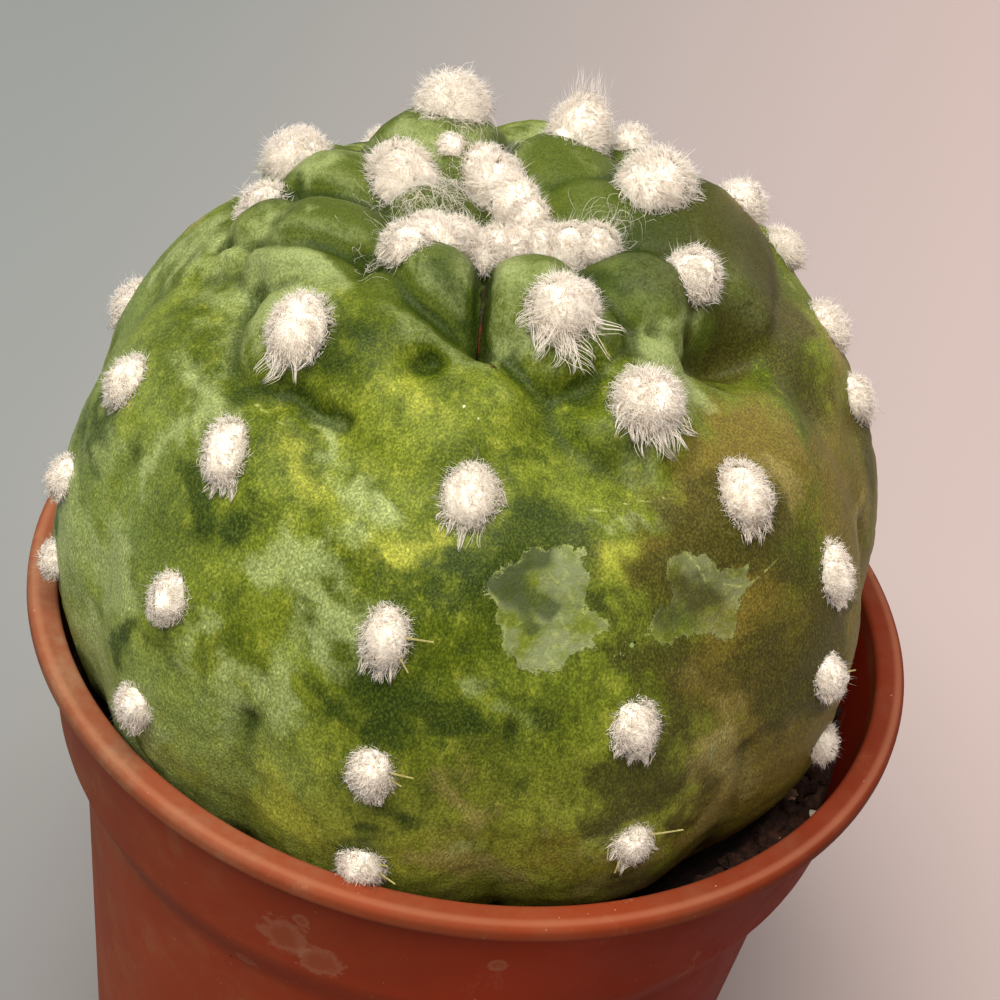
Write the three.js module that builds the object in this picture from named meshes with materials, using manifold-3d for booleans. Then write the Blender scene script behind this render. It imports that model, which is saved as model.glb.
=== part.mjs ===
// Potted domino cactus: a small globe cactus with woolly areoles, resting in a filled nursery pot.
// Millimetres and degrees, +Z up. The origin is the centre of the pot's flat bottom.
import * as THREE from "three";
import { mergeVertices } from "three/addons/utils/BufferGeometryUtils.js";
import Module from "manifold-3d";

const wasm = await Module();
wasm.setup();

// Pot: outside sizes, a size down from the rim where its name says depth
const POT_HEIGHT = 49;
const RIM_RADIUS = 27.5;
const LIP_THICKNESS = 1.3;
const LIP_ROUNDING = 0.35;
const LIP_INNER_EASE = 0.25;
const COLLAR_TOP_RADIUS = 26.35;
const COLLAR_FOOT_RADIUS = 25.3;
const COLLAR_DEPTH = 10.2;
const STEP_HEIGHT = 0.6;
const BODY_TOP_RADIUS = 23.3;
const FOOT_RADIUS = 20.2;
const FOOT_ROUNDING = 0.8;
const WALL = 0.7;
const FLOOR = 1.2;
const POT_SIDES = 52;
const DRAIN_HOLES = 6;
const DRAIN_HOLE_RADIUS = 2;
const DRAIN_CIRCLE_RADIUS = 13;
const DRAIN_HOLE_SIDES = 10;

// Soil: its crumbly top is crossing waves, as [pitch along, pitch across, how far they swing]
const SOIL_DEPTH = 5;
const SOIL_GAP = 0.3;
const SOIL_RINGS = 5;
const CRUMB_HEIGHT = 0.7;
const CRUMB_GRAIN = 0.5;
const CRUMB_CENTRE_RADIUS = 14;
const CRUMB_WAVES = [[1.3, 0.7, 2.1], [1.9, 1.1, 1.7]];
const EDGE_CRUMBLE = 0.14;

// Plant: the globe's own frame has +Z along the stem and azimuth 0 towards -Y
const GLOBE_CENTRE = new THREE.Vector3(-1.05, -0.45, POT_HEIGHT + 5.2);
const LEAN_FORWARD = 4.3;
const LEAN_LEFT = 3.1;
const GROOVE_RADIUS = 23.55;
const CROWN_RADIUS = 20.9;
const CROWN_ANGLE = 24;
const FLANK_ANGLE = 52;
const CROWN_DENT = 1.4;
const CROWN_DENT_ANGLE = 9;
const RIB_HEIGHT = 1.35;
const RIB_FALL = 0.026;
const RIB_STRETCH = 0.3;
const RIB_TOP_ANGLE = 41;
const RIB_FADE_START = 104;
const RIB_FADE_END = 128;
const MELT = 5.5;
const DOME_REACH_COSINE = 0.6;
const FLATTEN_BELOW = -8;
const FLATTEN_RATE = 0.018;
const GLOBE_DETAIL = 11;
const CROWN_CROWDING = 1.35;
const NECK_TOP_RADIUS = 9;
const NECK_FOOT_RADIUS = 6.5;
const NECK_TOP = -16;
const NECK_FOOT = -25;
const NECK_SIDES = 20;
const PLANT_GAP = 0.35;
const STEM_HOLE_SIDES = 40;
const STEM_HOLE_RINGS = 24;

// Areoles of each rib, as [angle from the crown, sideways lean from the rib's azimuth]
const RIBS = [
  { azimuth: -5, areoles: [[43, 8], [61, -1], [79, 0], [93, 0]] },
  { azimuth: 31, areoles: [[19, 1], [35, 9], [72, -3], [90, -2]] },
  { azimuth: 67, areoles: [[26, 11], [50, -14], [66, -4], [80, -8], [95, -5]] },
  { azimuth: 103, areoles: [[48, -2], [61, -2], [84, 10], [99, 4]] },
  { azimuth: 139, areoles: [[29, 2], [35, -18], [45, -24], [70, -7], [88, -1], [105, 0]] },
  { azimuth: 175, areoles: [[23, -13], [33, -21], [53, -6], [74, -1], [95, 0]] },
  { azimuth: -149, areoles: [[26, -9], [56, -4], [71, 0], [87, 1], [101, 0]] },
  { azimuth: -113, areoles: [[18, -7], [38, -8], [62, -14], [74, 4], [91, 1]] },
  { azimuth: -77, areoles: [[36, -24], [56, 8], [75, 6], [88, 8]] },
  { azimuth: -41, areoles: [[33, -4], [50, 1], [69, 3], [88, 1]] },
];

// Crown areoles whose wool has grown together, as [azimuth, angle from the crown]
const CROWN_AREOLES = [[-73, 11], [-74, 4], [107, 6], [98, 12], [-167, 11]];

// Crown tubercles, as [azimuth, angle from the crown, radius, height over the crown's floor]
const TUBERCLES = [
  [-21, 18, 4.4, 4],
  [13, 17.5, 4.4, 4],
  [32, 22, 4.6, 3.6],
  [-26, 31, 6.6, 4.3],
  [-1, 37, 6, 3.9],
  [-46, 34, 6.4, 4.2],
  [42, 35, 6, 4.2],
  [82, 29, 6.6, 4.4],
  [112, 24, 5.8, 4],
  [121, 37, 6.6, 5.2],
  [-72, 22, 5, 3.4],
  [-88, 29, 5.2, 3.2],
  [-117, 27, 6, 3.6],
  [-126, 42, 6, 4],
  [-153, 30, 6.6, 4.9],
  [165, 23, 6, 3.9],
  [150, 36, 6.2, 4.2],
  [178, 42, 6.4, 4.2],
  [-95, 41, 6.2, 3.6],
  [160, 10, 4.2, 2.4],
  [-115, 13, 4.2, 2.6],
];

// Pits in the skin, as [azimuth, angle from the crown, radius, depth]
const PITS = [
  [-12, 28, 1.5, 1],
  [-26, 39, 1.8, 0.8],
  [65, 35, 2.2, 1.4],
  [95, 61, 2.4, 0.8],
  [-3, 49, 2.2, 0.4],
  [-83, 43, 2.2, 0.7],
  [-150, 43, 2.2, 0.9],
  [140, 62, 2.4, 0.7],
];

// Creases, as [azimuth, angle from the crown] at both ends, then half width and depth
const CREASES = [
  [[-4, 12], [3, 27], 0.6, 1.6],
  [[-52, 17], [-12, 25], 0.7, 1.1],
  [[-45, 42], [-24, 39], 0.8, 0.7],
  [[-66, 27], [-92, 34], 0.7, 0.8],
  [[50, 27], [64, 34], 0.8, 0.8],
  [[95, 17], [100, 32], 0.7, 1],
  [[-168, 18], [-178, 32], 0.7, 1],
];

// Wool and spines
const YOUNG_WOOL_WIDTH = 4.5;
const OLD_WOOL_WIDTH = 2.5;
const OLD_WOOL_ANGLE = 95;
const LOW_WOOL_ANGLE = 76;
const WOOL_LENGTHENING = 0.35;
const WOOL_WIDTH_SPREAD = 0.12;
const WOOL_RISE = 0.5;
const WOOL_SINK = 0.15;
const WOOL_UPWARD_TURN = 0.45;
const FINE_WOOL_LIMIT = 53;
const LOCK_REACH = 1.12;
const LOCK_REACH_SPREAD = 0.26;
const FELT_REACH = 0.91;
const FACE_CENTRE_NEARNESS = 0.82;
const CORNER_NEARNESS = 0.99;
const HAIRS_PER_YOUNG_AREOLE = 4;
const HAIR_RADIUS = 0.16;
const HAIR_REACH = 1.3;
const SPINES_PER_OLD_AREOLE = 2;
const SPINE_RADIUS = 0.12;
const SPINE_REACH = 1.2;
const POINT_LEAN_LEAST = 0.35;
const POINT_LEAN_MOST = 1.15;
const GOLDEN_TURN = 2.39996;

// Repeatable random draws
const SEED = 17;
const DRAW_RATE = 12.9898;
const DRAW_SCALE = 43758.5453;
const DRAWS_PER_AREOLE = 97;

const SAME_POINT = 1e-4;
const SAME_HEIGHT = 1e-3;

const potPlastic = new THREE.MeshStandardMaterial({
  color: 0xa84a33,
  roughness: 0.6,
  metalness: 0,
});
const pottingSoil = new THREE.MeshStandardMaterial({
  color: 0x2c1b13,
  roughness: 0.95,
  metalness: 0,
});
const cactusSkin = new THREE.MeshStandardMaterial({
  color: 0x5f8038,
  roughness: 0.6,
  metalness: 0,
});

const radians = THREE.MathUtils.degToRad;
const smoothstep = THREE.MathUtils.smoothstep;
const lerp = THREE.MathUtils.lerp;

// A repeatable random number from 0 to 1 for a whole number
function randomOf(index) {
  const wave = Math.sin((index + SEED) * DRAW_RATE) * DRAW_SCALE;
  return wave - Math.floor(wave);
}

// The soil's crossing waves at a place, from -1 to 1
function crumbsAt(x, y) {
  const [[coarseAlong, coarseAcross, coarseSwing], [fineAlong, fineAcross, fineSwing]] = CRUMB_WAVES;
  const coarse = Math.sin(x * coarseAlong + coarseSwing * Math.sin(y * coarseAcross));
  const fine = Math.sin(y * fineAlong - fineSwing * Math.sin(x * fineAcross));
  return (coarse + fine) / 2;
}

// The geometry without the shading data, its equal points merged and its collapsed faces dropped
function closedGeometry(geometry) {
  const bare = geometry.clone();
  bare.deleteAttribute("normal");
  bare.deleteAttribute("uv");
  const merged = mergeVertices(bare, SAME_POINT);
  const kept = [];
  const index = merged.index.array;
  for (let i = 0; i < index.length; i += 3) {
    const [a, b, c] = index.subarray(i, i + 3);
    if (a !== b && b !== c && c !== a) kept.push(a, b, c);
  }
  merged.setIndex(kept);
  return merged;
}

function solidFrom(geometry) {
  const closed = closedGeometry(geometry);
  return new wasm.Manifold(
    new wasm.Mesh({
      numProp: 3,
      vertProperties: new Float32Array(closed.attributes.position.array),
      triVerts: new Uint32Array(closed.index.array),
    }),
  );
}

function geometryFrom(solid) {
  const mesh = solid.getMesh();
  const geometry = new THREE.BufferGeometry();
  geometry.setAttribute("position", new THREE.BufferAttribute(mesh.vertProperties, 3));
  geometry.setIndex(new THREE.BufferAttribute(mesh.triVerts, 1));
  geometry.computeVertexNormals();
  return geometry;
}

// The solid's largest shell alone, which fills any hollow that the wool has closed off
function largestBody(solid) {
  const bodies = solid.decompose();
  return bodies.reduce((best, body) => (body.volume() > best.volume() ? body : best));
}

// A closed solid of revolution about +Z from [radius, height] pairs, listed from the bottom up
function turned(profile, sides) {
  const points = profile.map(([radius, height]) => new THREE.Vector2(radius, height));
  return new THREE.LatheGeometry(points, sides).rotateX(Math.PI / 2);
}

// A round corner's points, from one angle to another about its centre
function corner(radius, height, rounding, fromAngle, toAngle) {
  return [0, 0.5, 1].map((share) => {
    const angle = radians(lerp(fromAngle, toAngle, share));
    return [radius + rounding * Math.cos(angle), height + rounding * Math.sin(angle)];
  });
}

const COLLAR_FOOT_Z = POT_HEIGHT - COLLAR_DEPTH;
const STEP_FOOT_Z = COLLAR_FOOT_Z - STEP_HEIGHT;

function potSolid() {
  const lipUnderside = POT_HEIGHT - LIP_THICKNESS;
  const inner = [
    [FOOT_RADIUS - WALL, FLOOR],
    [BODY_TOP_RADIUS - WALL, STEP_FOOT_Z + WALL],
    [COLLAR_FOOT_RADIUS - WALL, COLLAR_FOOT_Z + WALL],
    [COLLAR_TOP_RADIUS - WALL, POT_HEIGHT - LIP_ROUNDING],
    [COLLAR_TOP_RADIUS - WALL + LIP_INNER_EASE, POT_HEIGHT],
  ];
  const profile = [
    [0, 0],
    ...corner(FOOT_RADIUS - FOOT_ROUNDING, FOOT_ROUNDING, FOOT_ROUNDING, -90, 0),
    [BODY_TOP_RADIUS, STEP_FOOT_Z],
    [COLLAR_FOOT_RADIUS, COLLAR_FOOT_Z],
    [COLLAR_TOP_RADIUS, lipUnderside],
    ...corner(RIM_RADIUS - LIP_ROUNDING, lipUnderside + LIP_ROUNDING, LIP_ROUNDING, -90, 0),
    ...corner(RIM_RADIUS - LIP_ROUNDING, POT_HEIGHT - LIP_ROUNDING, LIP_ROUNDING, 0, 90),
    ...inner.reverse(),
    [0, FLOOR],
  ];
  let pot = solidFrom(turned(profile, POT_SIDES));
  for (let i = 0; i < DRAIN_HOLES; i++) {
    const turn = (i / DRAIN_HOLES) * 2 * Math.PI;
    const hole = new THREE.CylinderGeometry(
      DRAIN_HOLE_RADIUS,
      DRAIN_HOLE_RADIUS,
      FLOOR * 3,
      DRAIN_HOLE_SIDES,
    );
    hole.rotateX(Math.PI / 2);
    hole.translate(DRAIN_CIRCLE_RADIUS * Math.cos(turn), DRAIN_CIRCLE_RADIUS * Math.sin(turn), 0);
    pot = pot.subtract(solidFrom(hole));
  }
  return pot;
}

// The unit direction in the globe's frame for an azimuth and an angle from the crown
function directionOf(azimuth, polar) {
  const a = radians(azimuth);
  const p = radians(polar);
  return new THREE.Vector3(
    Math.sin(p) * Math.sin(a),
    -Math.sin(p) * Math.cos(a),
    Math.cos(p),
  );
}

// A dome on the skin about a direction: its height, how fast it falls away, and how much it is
// drawn out along its rib. A tubercle's height is counted from the crown's floor.
function dome(azimuth, polar, height, fall, stretch, fromFloor) {
  const centre = directionOf(azimuth, polar);
  const across = new THREE.Vector3(Math.cos(radians(azimuth)), Math.sin(radians(azimuth)), 0);
  const along = new THREE.Vector3().crossVectors(across, centre);
  return { centre, across, along, height, fall, stretch, fromFloor };
}

const areoles = RIBS.flatMap(({ azimuth, areoles: places }) =>
  places.map(([polar, lean]) => ({ azimuth: azimuth + lean, polar })),
);
const domes = [
  ...TUBERCLES.map(([azimuth, polar, radius, height]) =>
    dome(azimuth, polar, height, height / radius ** 2, 1, true),
  ),
  ...areoles
    .filter(({ polar }) => polar > RIB_TOP_ANGLE)
    .map(({ azimuth, polar }) => dome(azimuth, polar, RIB_HEIGHT, RIB_FALL, RIB_STRETCH, false)),
];
const pits = PITS.map(([azimuth, polar, radius, depth]) => ({
  centre: directionOf(azimuth, polar),
  radius,
  depth,
}));
const creases = CREASES.map(([start, end, halfWidth, depth]) => ({
  line: new THREE.Line3(directionOf(...start), directionOf(...end)),
  halfWidth,
  depth,
}));

// The globe's radius towards a direction: the domes melt into each other where they meet
const nearest = new THREE.Vector3();
function globeRadius(towards) {
  const polar = THREE.MathUtils.radToDeg(Math.acos(THREE.MathUtils.clamp(towards.z, -1, 1)));
  const floorRise = (GROOVE_RADIUS - CROWN_RADIUS) * smoothstep(polar, CROWN_ANGLE, FLANK_ANGLE);
  const dent = CROWN_DENT * Math.exp(-((polar / CROWN_DENT_ANGLE) ** 2));
  let sum = 1;
  for (const { centre, across, along, height, fall, stretch, fromFloor } of domes) {
    if (centre.dot(towards) < DOME_REACH_COSINE) continue;
    const sideways = GROOVE_RADIUS * towards.dot(across);
    const lengthways = GROOVE_RADIUS * stretch * towards.dot(along);
    const top = fromFloor ? height - floorRise : height;
    sum += Math.exp(MELT * (top - fall * (sideways ** 2 + lengthways ** 2)));
  }
  const fade = 1 - smoothstep(polar, RIB_FADE_START, RIB_FADE_END);
  let radius = CROWN_RADIUS + floorRise - dent + (fade * Math.log(sum)) / MELT;
  for (const { centre, radius: reach, depth } of pits) {
    const distance = GROOVE_RADIUS * centre.distanceTo(towards);
    radius -= depth * Math.exp(-((distance / reach) ** 2));
  }
  for (const { line, halfWidth, depth } of creases) {
    line.closestPointToPoint(towards, true, nearest);
    const distance = GROOVE_RADIUS * nearest.distanceTo(towards);
    radius -= depth * Math.exp(-((distance / halfWidth) ** 2));
  }
  return radius;
}

// The skin's point towards a direction, with the globe's underside flattened
function skinPoint(towards) {
  const point = towards.clone().multiplyScalar(globeRadius(towards));
  const below = Math.min(0, point.z - FLATTEN_BELOW);
  point.z += FLATTEN_RATE * below ** 2;
  return point;
}

// The globe: an even net of triangles, drawn a little closer together towards the crown
function globeGeometry() {
  const geometry = new THREE.IcosahedronGeometry(1, GLOBE_DETAIL);
  const position = geometry.attributes.position;
  const towards = new THREE.Vector3();
  for (let i = 0; i < position.count; i++) {
    towards.fromBufferAttribute(position, i).normalize();
    const polar = Math.acos(THREE.MathUtils.clamp(towards.z, -1, 1));
    const drawn = Math.PI * (polar / Math.PI) ** CROWN_CROWDING;
    const flat = Math.hypot(towards.x, towards.y) || 1;
    const spread = Math.sin(drawn) / flat;
    towards.set(towards.x * spread, towards.y * spread, Math.cos(drawn));
    position.setXYZ(i, ...skinPoint(towards));
  }
  return geometry;
}

function neckGeometry(margin) {
  const height = NECK_TOP - NECK_FOOT + margin;
  const neck = new THREE.CylinderGeometry(
    NECK_TOP_RADIUS + margin,
    NECK_FOOT_RADIUS + margin,
    height,
    NECK_SIDES,
  );
  return neck.rotateX(Math.PI / 2).translate(0, 0, NECK_TOP - height / 2);
}

// Places geometry that is modelled along +Z at an areole: +Z turns outwards and +Y uphill
function atAreole(geometry, point, outward) {
  const across = new THREE.Vector3(-outward.y, outward.x, 0).normalize();
  const uphill = new THREE.Vector3().crossVectors(outward, across);
  const frame = new THREE.Matrix4().makeBasis(across, uphill, outward).setPosition(point);
  return geometry.applyMatrix4(frame);
}

function woolWidth(polar) {
  return lerp(YOUNG_WOOL_WIDTH, OLD_WOOL_WIDTH, smoothstep(polar, CROWN_ANGLE, OLD_WOOL_ANGLE));
}

// A tuft of felted wool: a low dome whose corners and face centres are raised into pointed locks
const domeCorners = [];
const cornerPositions = closedGeometry(new THREE.IcosahedronGeometry(1, 0)).attributes.position;
for (let i = 0; i < cornerPositions.count; i++) {
  domeCorners.push(new THREE.Vector3().fromBufferAttribute(cornerPositions, i));
}

function woolGeometry(width, length, rise, detail, seed) {
  const geometry = closedGeometry(new THREE.IcosahedronGeometry(1, detail));
  const position = geometry.attributes.position;
  const towards = new THREE.Vector3();
  for (let i = 0; i < position.count; i++) {
    towards.fromBufferAttribute(position, i);
    const nearness = Math.max(...domeCorners.map((corner) => corner.dot(towards)));
    const isLock = nearness > CORNER_NEARNESS || nearness < FACE_CENTRE_NEARNESS;
    const draw = randomOf(seed * DRAWS_PER_AREOLE + i);
    const reach = isLock ? LOCK_REACH + LOCK_REACH_SPREAD * draw : FELT_REACH;
    towards.multiplyScalar(reach);
    position.setXYZ(i, (towards.x * width) / 2, (towards.y * length) / 2, towards.z * rise);
  }
  return geometry;
}

// A thin three-sided point out of the origin, leaned away from +Z and then turned about it
function pointGeometry(radius, length, lean, turn) {
  const point = new THREE.ConeGeometry(radius, length, 3);
  return point
    .rotateX(Math.PI / 2)
    .translate(0, 0, length / 2)
    .rotateY(lean)
    .rotateZ(turn);
}

// The wool, hairs and spines of one areole, in the globe's frame
function areoleParts(azimuth, polar, seed) {
  const towards = directionOf(azimuth, polar);
  const outward = towards.clone();
  outward.z += WOOL_UPWARD_TURN * smoothstep(polar, FLANK_ANGLE, OLD_WOOL_ANGLE);
  outward.normalize();
  const isYoung = polar < FINE_WOOL_LIMIT;
  const width = woolWidth(polar) * (1 + WOOL_WIDTH_SPREAD * (randomOf(seed) - 0.5));
  const ovalness =
    smoothstep(polar, CROWN_ANGLE, FLANK_ANGLE) - smoothstep(polar, LOW_WOOL_ANGLE, OLD_WOOL_ANGLE);
  const length = width * (1 + WOOL_LENGTHENING * ovalness);
  const rise = width * WOOL_RISE;
  const root = skinPoint(towards).addScaledVector(outward, -WOOL_SINK * rise);
  const wool = woolGeometry(width, length, rise, isYoung ? 2 : 1, seed);
  const parts = [atAreole(wool, root, outward)];
  const points = isYoung ? HAIRS_PER_YOUNG_AREOLE : SPINES_PER_OLD_AREOLE;
  const radius = isYoung ? HAIR_RADIUS : SPINE_RADIUS;
  const reach = isYoung ? HAIR_REACH : SPINE_REACH;
  for (let i = 0; i < points; i++) {
    const draw = randomOf(seed * DRAWS_PER_AREOLE + i);
    const lean = lerp(POINT_LEAN_LEAST, POINT_LEAN_MOST, (i + draw) / points);
    const turn = seed + i * GOLDEN_TURN;
    const point = pointGeometry(radius, width / 2 + reach, lean, turn);
    parts.push(atAreole(point, root, outward));
  }
  return parts;
}

function cactusSolid() {
  let cactus = solidFrom(globeGeometry()).add(solidFrom(neckGeometry(0)));
  const all = [
    ...CROWN_AREOLES.map(([azimuth, polar]) => ({ azimuth, polar })),
    ...areoles,
  ];
  all.forEach(({ azimuth, polar }, i) => {
    for (const part of areoleParts(azimuth, polar, i + 1)) cactus = cactus.add(solidFrom(part));
  });
  return largestBody(cactus);
}

const plantPlace = new THREE.Group();
plantPlace.position.copy(GLOBE_CENTRE);
plantPlace.rotation.set(radians(LEAN_FORWARD), -radians(LEAN_LEFT), 0);
plantPlace.updateMatrix();

// The plain hole in the soil: the smooth outside of the globe's underside and neck, with a gap
function stemHole() {
  const reach = GROOVE_RADIUS + RIB_HEIGHT + PLANT_GAP;
  const bowl = new THREE.SphereGeometry(1, STEM_HOLE_SIDES, STEM_HOLE_RINGS).rotateX(Math.PI / 2);
  const position = bowl.attributes.position;
  const point = new THREE.Vector3();
  for (let i = 0; i < position.count; i++) {
    point.fromBufferAttribute(position, i).multiplyScalar(reach);
    const below = Math.min(0, point.z - FLATTEN_BELOW);
    point.z += FLATTEN_RATE * below ** 2;
    position.setXYZ(i, ...point);
  }
  const hole = solidFrom(bowl).add(solidFrom(neckGeometry(PLANT_GAP)));
  return solidFrom(geometryFrom(hole).applyMatrix4(plantPlace.matrix));
}

// The soil: it fills the pot to an uneven crumbly top and has a plain hole for the stem
function soilSolid() {
  const inset = WALL + SOIL_GAP;
  const top = POT_HEIGHT - SOIL_DEPTH;
  const share = (top - COLLAR_FOOT_Z) / COLLAR_DEPTH;
  const topRadius = lerp(COLLAR_FOOT_RADIUS, COLLAR_TOP_RADIUS, share) - inset;
  const profile = [
    [0, FLOOR + SOIL_GAP],
    [FOOT_RADIUS - inset, FLOOR + SOIL_GAP],
    [BODY_TOP_RADIUS - inset, STEP_FOOT_Z + WALL + SOIL_GAP],
    [COLLAR_FOOT_RADIUS - inset, COLLAR_FOOT_Z + WALL + SOIL_GAP],
    [topRadius - EDGE_CRUMBLE, top - CRUMB_HEIGHT],
  ];
  for (let ring = 0; ring <= SOIL_RINGS; ring++) {
    const radius = lerp(topRadius - CRUMB_HEIGHT, CRUMB_CENTRE_RADIUS, ring / SOIL_RINGS);
    profile.push([radius, top]);
  }
  profile.push([0, top]);
  const geometry = closedGeometry(turned(profile, POT_SIDES));
  const position = geometry.attributes.position;
  for (let i = 0; i < position.count; i++) {
    if (Math.abs(position.getZ(i) - top) > SAME_HEIGHT) continue;
    const crumb = crumbsAt(position.getX(i), position.getY(i));
    position.setZ(i, top + CRUMB_HEIGHT * (crumb + CRUMB_GRAIN * randomOf(i)));
  }
  return solidFrom(geometry).subtract(stemHole());
}

function named(name, solid, material) {
  const mesh = new THREE.Mesh(geometryFrom(solid), material);
  mesh.name = name;
  return mesh;
}

const pottedCactus = new THREE.Group();
pottedCactus.add(named("pot", potSolid(), potPlastic));
pottedCactus.add(named("soil", soilSolid(), pottingSoil));
plantPlace.add(named("cactus", cactusSolid(), cactusSkin));
pottedCactus.add(plantPlace);

export default pottedCactus;
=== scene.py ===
import math
from typing import NamedTuple

import bpy
import numpy as np
from bpy.props import FloatProperty, FloatVectorProperty, IntProperty, PointerProperty
from mathutils import Matrix, Vector


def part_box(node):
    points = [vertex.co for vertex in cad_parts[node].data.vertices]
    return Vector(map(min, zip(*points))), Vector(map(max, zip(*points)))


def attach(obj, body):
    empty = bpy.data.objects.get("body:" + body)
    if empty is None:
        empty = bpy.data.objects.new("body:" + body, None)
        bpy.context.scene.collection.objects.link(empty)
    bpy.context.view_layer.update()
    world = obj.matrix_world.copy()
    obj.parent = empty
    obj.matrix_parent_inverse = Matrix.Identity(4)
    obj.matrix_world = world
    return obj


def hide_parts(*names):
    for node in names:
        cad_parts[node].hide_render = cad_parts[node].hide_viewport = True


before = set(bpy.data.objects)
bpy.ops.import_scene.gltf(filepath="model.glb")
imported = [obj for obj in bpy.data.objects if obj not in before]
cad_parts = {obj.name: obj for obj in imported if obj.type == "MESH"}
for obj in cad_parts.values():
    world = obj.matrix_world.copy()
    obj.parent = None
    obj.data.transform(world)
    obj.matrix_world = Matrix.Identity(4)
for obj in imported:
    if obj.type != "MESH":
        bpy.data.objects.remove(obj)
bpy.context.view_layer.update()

bl_info = {
    "name": "Potted Domino Cactus",
    "version": (1, 0, 0),
    "blender": (4, 5, 0),
    "location": "3D View > Sidebar > Cactus",
    "description": "A small woolly globe cactus in a filled plastic nursery pot",
    "category": "Add Mesh",
}

BODY = "root"
MM = 0.001

# Random draws: the seed, and the stream of each use; the wool has streams 0 to 10
SEED = 17
SOIL_STREAM = 50
CRUMB_STREAM = 60
WANDER_STREAM = 70
UNSEEN_STREAM = 80

# The plant's frame: +Z along its stem, azimuth 0 towards -Y, set down in the pot by a small lean
POT_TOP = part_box("pot")[1].z / MM
GLOBE_CENTRE = np.array([-1.05, -0.45, POT_TOP + 5.2])
LEAN_FORWARD = 4.3
LEAN_LEFT = 3.1

# The globe's relief, in millimetres and degrees
GROOVE_RADIUS = 23.55
CROWN_RADIUS = 20.9
CROWN_ANGLE = 24
FLANK_ANGLE = 52
CROWN_DENT = 1.4
CROWN_DENT_ANGLE = 9
RIB_HEIGHT = 1.35
RIB_FALL = 0.026
RIB_STRETCH = 0.3
RIB_TOP_ANGLE = 41
RIB_FADE = (104, 128)
MELT = 5.5
DOME_REACH_COSINE = 0.6
FLATTEN_BELOW = -8
FLATTEN_RATE = 0.018
CROWN_CROWDING = 1.3

# Areoles of each rib: azimuth, then [angle from the crown, sideways lean]
RIBS = {
    -5: [(43, 8), (61, -1), (79, 0), (96, 0)],
    31: [(18.8, -1.5), (33.5, 10.5), (72, -3), (91, -2)],
    67: [(25.6, 20), (49, -14), (66, -1.5), (80, -5.5), (95, -2.5)],
    103: [(53, 4.5), (62, -2), (84, 10), (99, 4)],
    139: [(22, -15), (34.8, -18), (48, -16), (70, -7), (88, -1), (105, 0)],
    175: [(24.7, -11.5), (33, -21), (53, -6), (74, -1), (95, 0)],
    -149: [(28, -8.6), (56, -4), (71, 0), (87, 1), (101, 0)],
    -113: [(21, -14), (38.5, -9), (64, -24), (74, 4), (91, 1)],
    -77: [(37.4, -28), (56, 8), (75, 6), (88, 8)],
    -41: [(32.3, -5.8), (49.5, 0.3), (69, 3), (88, 1)],
}
# Crown tubercles: azimuth, angle from the crown, radius, height over the crown's floor
TUBERCLES = [
    (-37, 15.3, 4.9, 4.0),
    (22, 13.5, 4.9, 4.4),
    (34, 21, 4.6, 3.9),
    (-30, 29, 6.6, 3.9),
    (-17, 33, 6.5, 3.6),
    (-4, 36, 7, 3.6),
    (-50, 33, 6.6, 4.0),
    (42, 35, 6, 4.1),
    (75, 21.5, 4.7, 4.2),
    (98, 31.5, 6.6, 4.6),
    (62, 27, 3.4, 3.1),
    (118, 31, 8.6, 5.5),
    (128, 16, 4.8, 3.6),
    (126, 47.5, 5.0, 4.7),
    (-83, 27.5, 6.2, 4.4),
    (-94, 35.5, 5.2, 4.2),
    (-76, 44, 5, 2.9),
    (-116, 31, 5.6, 4.3),
    (-126, 42, 6, 4.4),
    (-153, 30, 7.0, 4.9),
    (165, 23, 6, 4.2),
    (150, 36, 6.2, 4.6),
    (178, 42, 6.4, 4.4),
    (-92, 45, 5.4, 3.4),
    (160, 10, 4.2, 2.4),
    (-115, 13, 4.2, 2.6),
]
# Pits in the skin: azimuth, angle from the crown, radius, depth
PITS = [
    (-13, 26.3, 0.75, 1.1),
    (-16, 28, 0.9, 0.5),
    (78, 34.5, 2.0, 2.0),
    (82, 38.5, 1.6, 1.2),
    (31, 29.5, 1.3, 1.2),
    (-88, 31, 0.9, 0.5),
    (88, 51, 2.4, 1.1),
    (95, 61, 2.4, 0.7),
    (-3, 49, 2.2, 0.4),
    (16, 56, 2.6, 0.35),
    (44, 60, 2.2, 0.35),
    (-83, 43, 2.2, 0.5),
    (-150, 43, 2.2, 0.9),
    (140, 62, 2.4, 0.7),
]
# Creases: a line of (azimuth, angle from the crown) places, half width, depth
CREASES = [
    ([(-33, 4), (-6, 11.5), (-2, 18.8), (1, 22.5)], 0.45, 1.6),
    ([(-66, 19.5), (-48, 18.5), (-30, 20), (-14, 21.3), (-2, 22)], 0.6, 0.7),
    ([(-94, 42), (-86, 36), (-76, 29), (-66, 21)], 0.6, 0.8),
    ([(-40, 38.6), (-33, 39.4), (-26, 38)], 0.6, 0.6),
    ([(-72, 34), (-66, 39), (-58, 42), (-50, 43.4), (-40, 41.5)], 0.7, 0.35),
    ([(60, 25.5), (66, 31), (72, 38)], 0.5, 0.5),
    ([(-168, 18), (-178, 32)], 0.7, 1),
    ([(-103, 20), (-105, 32)], 0.6, 0.8),
]
# Crests, which stand a little proud and carry bloom and a painted highlight, in the same form
CRESTS = [
    ([(-86, 39), (-71, 28.5), (-59, 24.5), (-46, 22.6), (-34, 22.2), (-20, 23.4), (-6, 25.4), (8, 28.4)],
     1.3, 0.5),
    ([(-92, 52), (-89, 46), (-87, 41)], 0.5, 0.25),
]
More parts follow.
